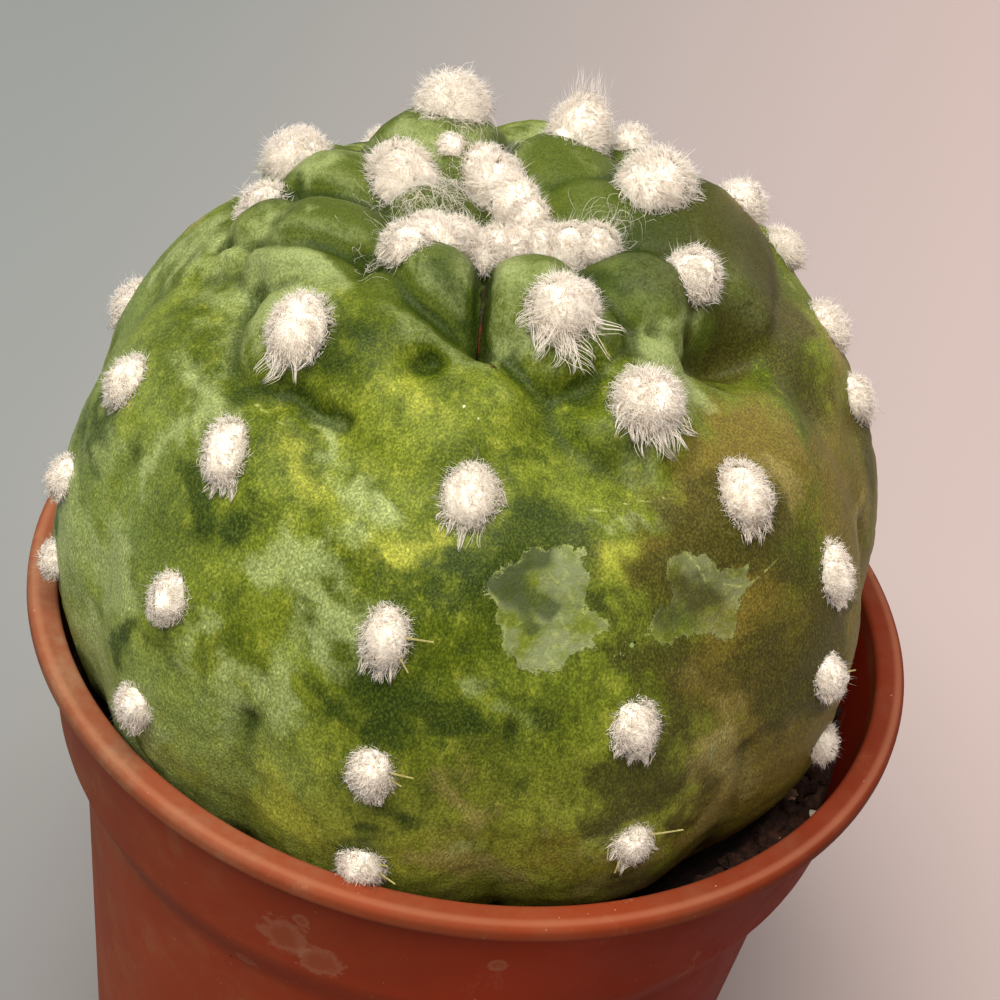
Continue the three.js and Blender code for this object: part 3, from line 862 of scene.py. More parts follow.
class CactusSkinSettings(bpy.types.PropertyGroup):
    """Sizes and colours of the cactus's skin."""

    lump_height: length_property("Lump Height", "How uneven the skin is between its ribs", 0.4 * MM)
    grain_height: length_property("Grain Height", "How rough the skin is close up", 0.1 * MM)
    green: colour_property("Green", "The skin's main colour", (0.054, 0.076, 0.002))
    leaf_green: colour_property(
        "Leaf Green", "The lighter green between the main colour's patches", (0.124, 0.155, 0.012),
    )
    crown_green: colour_property("Crown Green", "Colour of the young tubercles", (0.06, 0.084, 0.009))
    # Deep green is the skin's own dark green and also the painted shade under the areoles, in the hollows
    # and along the grooves
    deep_green_and_shade: colour_property(
        "Deep Green", "Colour under the areoles and in the hollows", (0.017, 0.032, 0.003),
    )
    yellow_green: colour_property("Yellow Green", "Colour of the bright patches", (0.3, 0.31, 0.035))
    # Haze is a waxy film on the back, and the painted sheen of the light on the left flank
    haze: colour_property(
        "Haze", "Colour of the waxy film on the sides and the back", (0.175, 0.23, 0.065),
    )
    olive: colour_property("Olive", "Colour of the aged, sun-browned side", (0.13, 0.092, 0.014))
    umber: colour_property(
        "Umber", "Colour of the dark patches on the sun-browned side", (0.042, 0.038, 0.006),
    )
    tan: colour_property("Tan", "Colour of the pale dry patches", (0.24, 0.19, 0.055))
    bloom: colour_property("Bloom", "Colour of the pale waxy bloom", (0.29, 0.34, 0.13))
    fleck: colour_property("Fleck", "Colour of the small bright flecks and scars", (0.4, 0.44, 0.14))
    scab: colour_property("Scab", "Colour of the corky scabs", (0.2, 0.225, 0.105))
    blot: colour_property("Blot", "Colour of the scabs' dark middles", (0.04, 0.055, 0.02))
    # Foot: the low flank's paler colour, which also paints light over the shade of the pot's lip
    foot: colour_property("Foot", "Colour low on the flank, near the soil", (0.24, 0.25, 0.03))
    # The crack's near-black is painted shade in the gap between the tubercles; the rust is its own colour
    crack: colour_property("Crack", "Colour in the crown's crack", (0.016, 0.012, 0.004))
    rust: colour_property("Rust", "Colour of the crack's rusty stretches", (0.075, 0.016, 0.006))


class CactusWoolSettings(bpy.types.PropertyGroup):
    """Sizes and colours of the areoles' wool and spines."""

    hairs: IntProperty(
        name="Hairs", description="Hairs on a tuft of the greatest width; smaller ones have fewer",
        default=1900, min=1, max=4000,
    )
    hair_radius: length_property("Hair Radius", "Radius of a hair at its root", 0.024 * MM)
    hair_length: length_property(
        "Hair Length", "Mean length of a felted hair on a wide tuft", 0.85 * MM,
    )
    spine_radius: length_property("Spine Radius", "Radius of a spine at its root", 0.08 * MM)
    wool: colour_property("Wool", "The wool's main colour", (0.98, 0.88, 0.77))
    straw: colour_property("Straw", "Colour of the wool's straw-brown specks", (0.74, 0.5, 0.24))
    stain: colour_property("Stain", "Colour of the old wool's brown ends", (0.5, 0.33, 0.14))
    spine: colour_property("Spine", "The spines' main colour", (0.6, 0.56, 0.2))
    horn: colour_property("Horn", "Colour of the spines' browner streaks", (0.5, 0.38, 0.14))


class NurseryPotSettings(bpy.types.PropertyGroup):
    """Sizes and colours of the pot."""

    height: length_property("Height", "From the flat bottom to the top of the lip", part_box("pot")[1].z)
    rim_radius: length_property("Rim Radius", "Radius over the lip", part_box("pot")[1].x)
    wall: length_property("Wall", "Thickness of the moulded wall", 0.7 * MM)
    plastic: colour_property("Plastic", "The pot's colour", (0.275, 0.027, 0.0058))
    # The worn edge's colour also paints a highlight along the lip's outer edge
    worn: colour_property("Worn", "Colour of the lip's worn edge", (0.62, 0.3, 0.17))
    chalk: colour_property("Chalk", "Colour of the small pale specks", (0.6, 0.4, 0.3))
    mark_rim: colour_property("Mark Rim", "Colour of the rub marks' rims", (0.55, 0.3, 0.2))
    dirt: colour_property("Dirt", "Colour of the one dark speck", (0.03, 0.008, 0.004))
    # Dust, and the painted sheen of the light on the pot's left side
    dust_and_sheen: colour_property("Dust", "Colour of the dust and the rub marks", (0.3, 0.115, 0.055))


class PottingSoilSettings(bpy.types.PropertyGroup):
    """Sizes and colours of the soil."""

    depth: length_property("Depth", "How far the soil lies below the lip", 5 * MM)
    crumbs: IntProperty(
        name="Crumbs", description="Loose crumbs on the soil's visible ring",
        default=420, min=0, max=2000,
    )
    bark: colour_property("Bark", "Colour of the browner crumbs", (0.3, 0.18, 0.1))
    grit: colour_property("Grit", "Colour of the few pale crumbs", (0.4, 0.34, 0.26))
    peat: colour_property("Peat", "The soil's main colour", (0.016, 0.006, 0.0035))


class StudioSettings(bpy.types.PropertyGroup):
    """The floor, the lights and the camera."""

    # The floor's colours paint the light over it: greyer and darker at the left, pinker and brighter at
    # the right, darker in front at the left
    floor_left: colour_property("Floor Left", "The floor's colour left of the pot", (0.2, 0.217, 0.215))
    floor_right: colour_property(
        "Floor Right", "The floor's colour right of the pot", (0.41, 0.332, 0.32),
    )
    floor_near: colour_property(
        "Floor Near", "The floor's colour in front of the pot at its left", (0.1, 0.115, 0.118),
    )
    key_power: power_property("Key Power", "Power of the large soft light high in front", 10.0)
    side_power: power_property("Side Power", "Power of the cool soft light at the left", 0.35)
    back_power: power_property("Back Power", "Power of the warm soft light behind at the right", 1.0)
    room_strength: FloatProperty(
        name="Room Strength", description="Brightness of the even light from all around",
        default=0.36, min=0,
    )


# The crack between the two front tubercles, whose near-black is painted shade in the gap, the scabs'
# darker middles and single spots
CROWN_CRACK = [(-8, 9), (-6, 11.5), (-2, 18.8), (-1.8, 21.5), (1, 23), (6, 25)]
SCAB_BLOTS = [
    (16.5, 50.2, 1.3, 0.9, 1.1),
    (15, 54.5, 1.0, 1.6, 1.1),
    (16.5, 57.2, 1.3, 0.8, 1.0),
    (12.5, 52, 0.8, 0.8, 0.5),
    (40, 55.5, 2.0, 1.2, 0.9),
    (33, 59.5, 2.2, 1.4, 0.8),
]
SKIN_SPOTS = [
    ((28.1, 61.4), 0.1, (0.2, 0.26, 0.09)),
    ((28.5, 61.2), 0.07, (0.008, 0.01, 0.003)),
    ((25.5, 62.5), 0.03, (0.45, 0.5, 0.3)),
    ((26.8, 62.6), 0.02, (0.4, 0.46, 0.24)),
    ((-1.2, 31.8), 0.05, (0.62, 0.6, 0.36)),
    ((2.5, 33), 0.0, (0.5, 0.5, 0.32)),
]
# Where the broad zones begin and are full, by azimuth and then by angle from the crown
BROWN_SIDE = [((24, 50), (56, 72)), ((52, 78), (42, 58))]
BROWN_SIDE_THINS = (70, 96)
BROWN_SIDE_ENDS = (116, 150)
# Painted sheen over the left flank and low on the left, and the waxy film at the back
PALE_LEFT = ((20, 75), (40, 66))
PALE_LOW_LEFT = ((4, 26), (70, 84))
PALE_BACK = ((100, 150), (34, 60))
# The foot zone also paints light over the shade of the pot's lip
FOOT_ZONE = (66, 102)
# The young skin of the crown ends between these angles, and sooner by the last on both sides
CROWN_ZONE = (18, 28)
CROWN_SIDES = (44, 78)
CROWN_SIDE_DROP = 14
# Painted shade below each areole on the flank, where its tuft shades the skin: how far down it lies, then
# as a patch
AREOLE_SHADE_DROP = 6
AREOLE_SHADE = (1.7, 1.1, 0.7)
# Width of the painted shade along the flank's grooves, in millimetres
GROOVE_SHADE_WIDTH = 0.8
# How far around a place its hollowness is taken, in millimetres, and from how many sides
HOLLOW_REACH = 1.1
HOLLOW_SAMPLES = 6

# How many cuts divide each side of the cube that becomes the skin
SKIN_CUTS = (28, 3)
LUMP_SIZE = 3.2 * MM
GRAIN_SIZE = 0.7 * MM


def even_directions(cube_points):
    """Unit directions for the points of a cut cube, spread evenly and drawn towards the crown."""
    towards = unit(np.tan(cube_points * math.pi / 4))
    polar = np.arccos(np.clip(towards[:, 2], -1, 1))
    drawn = math.pi * (polar / math.pi) ** CROWN_CROWDING
    flat = np.hypot(towards[:, 0], towards[:, 1])
    spread = np.sin(drawn) / np.where(flat > 0, flat, 1)
    return np.stack([towards[:, 0] * spread, towards[:, 1] * spread, np.cos(drawn)], axis=1)


def hollowness(towards):
    """How far each place lies below the skin around it, in millimetres, negative on crests."""
    across = unit(np.cross(towards, [0.02, 0.03, 1]))
    along = np.cross(towards, across)
    around = np.zeros(len(towards))
    for corner in range(HOLLOW_SAMPLES):
        turn = 2 * math.pi * corner / HOLLOW_SAMPLES
        step = math.cos(turn) * across + math.sin(turn) * along
        around += globe_radius(unit(towards + HOLLOW_REACH / GROOVE_RADIUS * step))
    return around / HOLLOW_SAMPLES - globe_radius(towards)


def broad_zone(turn, polar, turns, polars):
    """A soft-edged zone that begins at an azimuth and an angle and is full further on."""
    return smoothstep(turn, *turns) * smoothstep(polar, *polars)


def paint_skin(skin, towards):
    """Keeps the skin's colour zones on its vertices, for the material to break up."""
    azimuth = np.degrees(np.arctan2(towards[:, 0], -towards[:, 1]))
    polar = polar_of(towards)
    # Painted shade below each areole on the flank
    shaded = [
        (turn, angle + AREOLE_SHADE_DROP, *AREOLE_SHADE) for turn, angle in rib_areoles() if angle > 44
    ]
    brown = np.max([broad_zone(azimuth, polar, *zone) for zone in BROWN_SIDE], axis=0)
    brown *= 1 - smoothstep(azimuth, *BROWN_SIDE_ENDS)
    brown *= 1 - 0.4 * smoothstep(azimuth, *BROWN_SIDE_THINS)
    # Painted sheen on the left flank and low at the left, and the waxy film at the back
    haze = [
        broad_zone(-azimuth, polar, *PALE_LEFT),
        0.85 * broad_zone(-azimuth, polar, *PALE_LOW_LEFT),
        0.5 * broad_zone(np.abs(azimuth), polar, *PALE_BACK),
    ]
    crown_edge = polar - CROWN_SIDE_DROP * smoothstep(np.abs(azimuth + 6), *CROWN_SIDES)
    # Painted shade along the flank's grooves
    grooves = [(line, GROOVE_SHADE_WIDTH, 1) for line, _, _ in FLANK_GROOVES]
    wandered = wander(towards)
    zones = {
        "yellow": patches(wandered, YELLOW_PATCHES + unseen_patches("yellow")),
        "dark": patches(wandered, DARK_PATCHES + shaded + unseen_patches("dark")),
        "olive": np.maximum(patches(wandered, OLIVE_PATCHES), 0.85 * brown),
        "tan": patches(wandered, TAN_PATCHES + unseen_patches("tan")),
        "bloom": patches(wandered, PALE_PATCHES + unseen_patches("bloom")),
        "haze": np.max(haze, axis=0),
        "speckle": patches(towards, SPECKLED_PATCHES),
        "crown": 1 - smoothstep(crown_edge, *CROWN_ZONE),
        "foot": smoothstep(polar, *FOOT_ZONE),
        "hollow": hollowness(towards),
        "groove": along_lines(towards, grooves),
        "crack": line_distance(towards, CROWN_CRACK),
        "scar": np.min([line_distance(towards, line) for line in SCARS], axis=0),
        "scab": scab_depth(towards),
        "blot": patches(wandered, SCAB_BLOTS),
        "worn": patches(wandered, WORN_SCABS),
    }
    for name, values in zones.items():
        set_attribute(skin, name, values)


def skin_material(settings):
    """Waxy green skin: ragged colour zones, dense pale flecks, corky scabs and a pebbled grain."""
    nodes = Nodes("cactus_skin")
    part, plus, minus = nodes.part, nodes.plus, nodes.minus
    place = nodes.coordinates()
    upright = nodes.coordinates((1, 1, 0.4))
    broad = nodes.noise(place, 6 * MM, 3)
    middle = nodes.noise(place, 1.7 * MM, 5, 0.65)
    streaks = nodes.noise(upright, 0.8 * MM, 4, 0.65)
    fine = nodes.noise(place, 0.42 * MM, 3, 0.65)
    crown = nodes.attribute("crown")
    hollow = nodes.attribute("hollow")
    # The deep colour, green turning umber towards the right, paints dark patches and also painted shade
    # in hollows and grooves
    to_right = nodes.step(nodes.axis(place, "X"), 3 * MM, 11 * MM)
    deep = nodes.mix(to_right, opaque(settings.deep_green_and_shade), opaque(settings.umber))
    leaf, bright = opaque(settings.leaf_green), opaque(settings.yellow_green)
    pale, fleck_colour = opaque(settings.bloom), opaque(settings.fleck)

    def ragged(name, amount=1.2, low=0.15, high=0.75):
        """A colour zone whose edge the noise has broken up."""
        return nodes.step(plus(nodes.attribute(name), part(minus(middle, 0.5), amount)), low, high)

    # The zones, from the lowest to the topmost: where each shows, how strongly, and its colour
    # Painted highlight on the crests, where the skin stands above the skin around it, in the bloom's
    # colour, partly the real bloom
    crest = part(nodes.step(hollow, -0.1, -0.4), nodes.step(fine, 0.25, 0.6))
    layers = [
        (nodes.step(broad, 0.38, 0.6), 1, leaf),
        # Paler foot, partly painted light over the shade of the pot's lip
        (nodes.attribute("foot"), 0.9, opaque(settings.foot)),
        (nodes.step(streaks, 0.5, 0.34), 0.5, deep),
        (nodes.step(streaks, 0.54, 0.7), 0.35, bright),
        # Painted sheen on the left flank, waxy film at the back
        (part(nodes.attribute("haze"), nodes.step(middle, 0.2, 0.55)), 0.75, opaque(settings.haze)),
        (ragged("olive"), 0.9, opaque(settings.olive)),
        (crown, 0.85, opaque(settings.crown_green)),
        (ragged("yellow"), 0.8, bright),
        (ragged("tan"), 0.8, opaque(settings.tan)),
        (ragged("bloom", 1.5, 0.15, 0.8), 0.62, pale),
        # Dark patches, partly painted shade
        (ragged("dark"), 0.85, deep),
        # Painted shade: darker where the skin lies below the skin around it
        (nodes.step(hollow, 0.05, 0.4), 0.8, deep),
        # Painted highlight on the crests
        (crest, 0.3, pale),
        # Painted shade along the flank's grooves
        (nodes.attribute("groove"), 0.6, deep),
    ]
    colour = opaque(settings.green)
    for share, strength, layer in layers:
        colour = nodes.mix(part(share, strength), colour, layer)

    # Fine flecks and rounder grains, darker and lighter than the skin around them
    fleck = nodes.noise(nodes.coordinates((1, 1, 0.6)), 0.12 * MM, 2, 0.6)
    grown = minus(1.0, part(crown, 0.6))
    lighter = nodes.mix(0.1, nodes.tinted(colour, (1.5, 1.5, 1.7)), bright)
    darker = nodes.tinted(colour, (0.7, 0.72, 0.64))
    crowd = plus(nodes.attribute("speckle"), nodes.step(middle, 0.4, 0.75))
    light = part(nodes.step(fleck, 0.5, 0.62), part(grown, plus(0.8, part(crowd, 0.3))))
    colour = nodes.mix(nodes.step(fleck, 0.5, 0.36), colour, darker)
    colour = nodes.mix(part(light, 0.8), colour, lighter)
    cells = nodes.add("ShaderNodeTexVoronoi", {"Vector": upright, "Scale": 1 / (0.22 * MM)})
    chance = nodes.add("ShaderNodeSeparateColor", {"Color": cells.outputs["Color"]}).outputs[0]
    likely = nodes.step(plus(chance, part(crowd, 0.4)), 0.7, 1.1)
    grains = part(nodes.step(cells.outputs["Distance"], 0.42, 0.2), likely)
    brighter = nodes.tinted(colour, (1.9, 1.85, 2.2))
    colour = nodes.mix(part(part(grains, grown), 0.4), colour, brighter)

    # Corky scabs with torn rims, worn thin in places
    torn = minus(nodes.noise(place, 0.9 * MM, 5, 0.75), 0.5)
    edge = plus(nodes.attribute("scab"), part(torn, 1.6))
    scab = nodes.step(edge, -0.04, 0.06)
    film = nodes.mix(nodes.step(middle, 0.36, 0.62), leaf, opaque(settings.scab))
    film = nodes.mix(part(nodes.step(fine, 0.5, 0.66), 0.4), film, fleck_colour)
    film = nodes.mix(part(ragged("blot", 1.0, 0.2, 0.7), 0.85), film, opaque(settings.blot))
    left = minus(1.0, part(nodes.attribute("worn"), 0.6))
    cover = part(plus(part(nodes.step(middle, 0.3, 0.6), 0.3), 0.6), left)
    colour = nodes.mix(part(scab, cover), colour, film)
    rim = part(part(scab, nodes.step(edge, 0.16, 0.02)), part(nodes.step(streaks, 0.4, 0.58), left))
    colour = nodes.mix(part(rim, 0.6), colour, fleck_colour)

    # Thin scars, single spots and the crown's crack
    thin = plus(nodes.attribute("scar"), part(fine, 0.3))
    scar = part(nodes.step(thin, 0.26, 0.16), nodes.step(middle, 0.35, 0.6))
    colour = nodes.mix(part(scar, 0.7), colour, fleck_colour)
    for (azimuth, angle), radius, spot_colour in SKIN_SPOTS:
        centre = place_plant(skin_points(direction_of([azimuth], [angle])))[0]
        reach = plus(nodes.distance(place, centre), part(fine, 0.3 * MM))
        spot = nodes.step(reach, (radius + 0.21) * MM, (radius + 0.13) * MM)
        colour = nodes.mix(spot, colour, opaque(spot_colour))
    # The crack: near-black painted shade in the gap, with rusty stretches of its own colour
    split = nodes.step(minus(nodes.attribute("crack"), part(fine, 0.22)), 0.05, -0.04)
    rusty = nodes.mix(nodes.step(middle, 0.45, 0.6), opaque(settings.crack), opaque(settings.rust))
    colour = nodes.mix(split, colour, rusty)

    pebbles = plus(plus(fleck, part(fine, 0.8)), plus(part(scab, 0.7), part(grains, 0.3)))
    normal = nodes.bump(minus(pebbles, part(split, 1.5)), 0.05 * MM)
    roughness = plus(0.5, part(scab, 0.2))
    return nodes.finish(
        Base_Color=colour, Roughness=roughness, Normal=normal, Specular_IOR_Level=0.12,
    )


# The neck, in the plant's frame and in millimetres
NECK_TOP = -16
NECK_FOOT = -25
NECK_TOP_RADIUS = 9
NECK_FOOT_RADIUS = 6.5
NECK_ROUNDING = 0.8 * MM
# Zones that are told by distance lie nowhere near the neck
NECK_ZONES = {"scab": -1, "crack": 1, "scar": 1}


class CactusSkinAdd(bpy.types.Operator):
    """Model the globe's skin and its neck in the soil"""

    bl_idname = "mesh.cactus_skin_add"
    bl_label = "Cactus Skin"

    def execute(self, context):
        settings = context.scene.cactus_skin
        deselect_all()
        bpy.ops.mesh.primitive_cube_add(size=2)
        skin = take_active("cactus_skin")
        bpy.ops.object.mode_set(mode="EDIT")
        for cuts in SKIN_CUTS:
            bpy.ops.mesh.subdivide(number_cuts=cuts)
        object_mode()
        towards = even_directions(points_of(skin))
        set_points(skin, place_plant(skin_points(towards)))
        clouds_displace(skin, "skin_lumps", LUMP_SIZE, settings.lump_height)
        clouds_displace(skin, "skin_grain", GRAIN_SIZE, settings.grain_height)
        apply_modifiers(skin)
        paint_skin(skin, towards)
        shade_smooth(skin)
        material = skin_material(settings)
        finish_piece(skin, material, "cactus_skin", "cactus")
        self.add_neck(material)
        return {"FINISHED"}

    def add_neck(self, material):
        """The root neck, which runs down into the soil from inside the globe."""
        deselect_all()
        bpy.ops.mesh.primitive_cone_add(
            vertices=64, radius1=NECK_FOOT_RADIUS, radius2=NECK_TOP_RADIUS,
            depth=NECK_TOP - NECK_FOOT, location=(0, 0, (NECK_TOP + NECK_FOOT) / 2),
        )
        neck = take_active("cactus_neck")
        set_points(neck, place_plant(points_of(neck)))
        modifier = neck.modifiers.new("neck_edge", "BEVEL")
        modifier.width = NECK_ROUNDING
        modifier.segments = 4
        apply_modifiers(neck)
        bpy.ops.object.shade_smooth_by_angle(angle=math.radians(40))
        for name, value in NECK_ZONES.items():
            set_attribute(neck, name, np.full(len(neck.data.vertices), value))
        finish_piece(neck, material, "cactus_skin", "cactus")


# A hair has three-sided rings and a point, and thins towards it
HAIR_SIDES = 3
HAIR_THINNING = 0.6
# A tuft's felted core: how finely it is modelled, its size in the tuft and its lumps, as
# waves over it and their height, and how deep in it the hairs are rooted
CORE_DETAIL = 3
CORE_SHARE = 0.84
CORE_LEVEL = 0.9
CORE_LUMPS = [(3, 0.07), (9, 0.05)]
ROOT_DEPTH = 0.95
# The hanging wisps: how far round the tuft they start, at what heights, how long they are for
# their length, how much they curl, and how wide they are at the root and at the tip
BEARD_SPREAD = 0.75
BEARD_HEM = (-0.05, 0.45)
BEARD_REACH = (0.35, 1.1)
WISP_CURLS = (0.06, 0.17)
WISP_TURNS = 4.5
WISP_SPREAD = 0.075
WISP_WIDTHS = (1.6, 0.45)
# How high over the skin the wisps stay, in millimetres
WISP_CLEARANCE = 0.05
WISP_CEILING = 0.55
# Loose hairs: length, lift and curve of their arcs, in millimetres
STRAY_LENGTHS = (0.6, 1.9)
STRAY_LIFTS = (0.1, 0.7)
STRAY_BEND = 0.4


class Tuft(NamedTuple):
    """One areole's wool: its place, its size in millimetres and what is its own."""

    azimuth: float
    polar: float
    width: float
    lengthening: float
    beard: float
    turn: float = 0
    height: float = 1
    stain: float = 0
    wick: tuple = None


def strands(paths, radii):
    """Points, faces and hair numbers of thin closed hairs along paths of a few points each."""
    count, joints, _ = paths.shape
    heading = unit(paths[:, -1] - paths[:, 0])
    side = unit(np.cross(heading, unit(np.roll(heading, 1, axis=1) + [0.3, 0.1, 0.2])))
    other = np.cross(heading, side)
    points = []
    for joint in range(joints - 1):
        thickness = (radii * (1 - HAIR_THINNING * joint / (joints - 1)))[:, None]
        for corner in range(HAIR_SIDES):
            angle = 2 * math.pi * corner / HAIR_SIDES
            ring = math.cos(angle) * side + math.sin(angle) * other
            points.append(paths[:, joint] + ring * thickness)
    points.append(paths[:, -1])
    per_hair = len(points)
    last = (joints - 2) * HAIR_SIDES
    pattern = [[2, 1, 0]]
    for corner in range(HAIR_SIDES):
        following = (corner + 1) % HAIR_SIDES
        for low in range(0, last, HAIR_SIDES):
            pattern.append([low + corner, low + following, low + following + HAIR_SIDES])
            pattern.append([low + corner, low + following + HAIR_SIDES, low + corner + HAIR_SIDES])
        pattern.append([last + corner, last + following, per_hair - 1])
    starts = (np.arange(count) * per_hair)[:, None, None]
    faces = (starts + np.array(pattern)).reshape(-1, 3)
    return np.stack(points, axis=1).reshape(-1, 3), faces, np.repeat(np.arange(count), per_hair)


def icosphere(detail):
    """Unit sphere points and faces of even triangles."""
    deselect_all()
    bpy.ops.mesh.primitive_ico_sphere_add(subdivisions=detail, radius=1)
    ball = bpy.context.object
    points = points_of(ball)
    faces = np.array([list(face.vertices) for face in ball.data.polygons])
    bpy.data.objects.remove(ball)
    return points, faces


def wool_place(azimuth, polar, width):
    """Rise, root and outward direction of an areole's tuft, in millimetres."""
    towards = direction_of(azimuth, polar)
    outward = towards.copy()
    outward[2] += WOOL_UPWARD_TURN * smoothstep(polar, FLANK_ANGLE, OLD_WOOL_ANGLE)
    outward = unit(outward)
    rise = width * lerp(*WOOL_RISE, smoothstep(polar, *WOOL_RISE_ANGLES))
    root = skin_points(towards[None])[0] - WOOL_SINK * rise * outward
    return rise, root, outward


def areole_axes(outward):
    """Rows of an areole's axes: across, uphill and outwards."""
    across = unit(np.array([-outward[1], outward[0], 0.0]))
    return np.stack([across, np.cross(outward, across), outward])


def dome_points(count, rng, low=-0.12, high=1.0):
    """Evenly scattered directions over a dome, between two heights."""
    height = rng.uniform(low, high, count)
    turn = rng.uniform(0, 2 * math.pi, count)
    flat = np.sqrt(1 - height**2)
    return np.stack([flat * np.cos(turn), flat * np.sin(turn), height], axis=1)


def hair_roots(start, half):
    return start * half * CORE_SHARE * ROOT_DEPTH


def felted_hairs(count, half, length, radius, rng):
    """Short matted hairs that rise from the tuft and curl over it."""
    start = dome_points(count, rng)
    flow = wavy(start, rng, 2.5) + rng.normal(0, 0.8, (count, 3)) + [0, -0.3, 0]
    flow = unit(flow - (flow * start).sum(1, keepdims=True) * start)
    long = (length * rng.uniform(0.5, 1.2, count))[:, None]
    roots = hair_roots(start, half)
    bends = roots + (0.45 * flow + 0.36 * start + rng.normal(0, 0.12, (count, 3))) * long
    tips = roots + (0.9 * flow + 0.3 * start + rng.normal(0, 0.2, (count, 3))) * long
    paths = np.stack([roots, bends, tips], axis=1)
    return strands(paths, radius * rng.uniform(0.7, 1.15, count))


def fringe_hairs(count, half, length, radius, rng):
    """Finer hairs that stand out from the tuft in all directions."""
    start = dome_points(count, rng, -0.1, 0.9)
    heading = unit(start + rng.normal(0, 0.4, (count, 3)) + [0, -0.1, 0])
    long = (length * rng.gamma(5, 0.15, count).clip(0.3, 1.7))[:, None]
    roots = hair_roots(start, half)
    tips = roots + (heading + [0, -0.1, 0]) * long
    return strands(np.stack([roots, tips], axis=1), radius * rng.uniform(0.4, 0.7, count))


def bearded_hairs(count, half, length, radius, skin_height, downhill, rng):
    """Longer hairs that hang from the tuft's lower edge in thin, curling wisps."""
    wisps = max(6, count // HAIRS_PER_WISP)
    turn = rng.normal(downhill, BEARD_SPREAD, wisps)
    low = rng.uniform(*BEARD_HEM, wisps)
    flat = np.sqrt(1 - low**2)
    hem = np.stack([flat * np.cos(turn), flat * np.sin(turn), low], axis=1)
    downward = np.clip(-hem[:, 1], 0, 1)
    reach = length * rng.uniform(*BEARD_REACH, wisps) * (0.5 + 0.5 * downward)
    scatter = rng.normal(0, 0.3, (wisps, 3)) * [1, 0.6, 0.5]
    heading = unit(hem * [0.7, 0.7, 0.25] + [0, -0.55, 0] + scatter)
    sideways = unit(np.cross(heading, [0, 0, 1]) + rng.normal(0, 0.3, (wisps, 3)))
    phase = rng.uniform(0, 2 * math.pi, wisps)
    curl = rng.uniform(*WISP_CURLS, wisps) * reach
    wisp = rng.integers(0, wisps, count)
    spread = rng.normal(0, WISP_SPREAD, (count, 3))
    paths = []
    for share in np.linspace(0, 1, BEARD_JOINTS):
        middle = hair_roots(hem, half) + heading * (reach * share)[:, None]
        wave = np.sin(phase + WISP_TURNS * share) - np.sin(phase)
        middle = middle + sideways * (curl * wave)[:, None]
        middle[:, 2] += 0.25 * reach * share * (1 - share)
        low_point = skin_height + WISP_CLEARANCE + 0.12 * share
        high_point = lerp(half[2], skin_height + WISP_CEILING, share**0.5)
        middle[:, 2] = np.clip(middle[:, 2], low_point, high_point)
        paths.append(middle[wisp] + spread * half[0] * lerp(*WISP_WIDTHS, share))
    return strands(np.stack(paths, axis=1), radius * rng.uniform(0.7, 1.1, count))


def wick_hairs(half, wick, radius, rng):
    """A few longer hairs that stand up from the middle of the tuft."""
    count, length, across, uphill, spread = wick
    start = dome_points(count, rng, 0.75, 1.0)
    heading = unit(np.array([across, uphill, 1]) + rng.normal(0, spread, (count, 3)))
    long = length * rng.uniform(0.45, 1, count)[:, None]
    roots = hair_roots(start, half)
    bends = roots + heading * long * 0.5 + rng.normal(0, 0.05, (count, 3))
    paths = np.stack([roots, bends, roots + heading * long], axis=1)
    return strands(paths, np.full(count, radius * 0.6))


def toned(hairs, rng):
    """Hairs with a random tone for each, in place of their numbers."""
    points, faces, numbers = hairs
    return points, faces, rng.random(numbers[-1] + 1)[numbers]


def wool_tuft(tuft, settings, ball, rng):
    """One tuft: a lumpy felted core and the hairs that cover it, in the globe's frame in mm."""
    downhill = -math.pi / 2 - BEARD_LEAN - BEARD_TURN * math.sin(math.radians(tuft.azimuth))
    rise, root, outward = wool_place(tuft.azimuth, tuft.polar, tuft.width)
    rise *= tuft.height
    half = np.array([tuft.width / 2, tuft.width / 2 * tuft.lengthening, rise])
    size = tuft.width / WIDEST_TUFT
    ball_points, ball_faces = ball
    lumps = CORE_LEVEL
    for waves, height in CORE_LUMPS:
        lumps = lumps + height * wavy(ball_points, rng, waves)[:, :1]
    core = ball_points * lumps * half * CORE_SHARE

    count = settings.hairs * size**1.5
    radius = settings.hair_radius / MM
    length = settings.hair_length / MM * size**0.7
    skin_height = WOOL_SINK * rise
    kinds = [
        felted_hairs(int(count * FELT_SHARE), half, length, radius, rng),
        fringe_hairs(int(count * FRINGE_SHARE), half, length, radius, rng),
        bearded_hairs(int(count * BEARD_SHARE), half, tuft.beard, radius, skin_height, downhill, rng),
    ]
    if tuft.wick:
        kinds.append(wick_hairs(half, tuft.wick, radius, rng))
    parts = [(core, ball_faces, np.ones(len(core)))]
    parts.extend(toned(hairs, rng) for hairs in kinds)
    local, faces, tones = joined(parts)
    local = local @ np.array(Matrix.Rotation(math.radians(tuft.turn), 3, "Z")).T
    stain = tuft.stain * np.clip(-local[:, 1] / half[1] - 0.1, 0, 1)
    return local @ areole_axes(outward) + root, faces, tones, stain


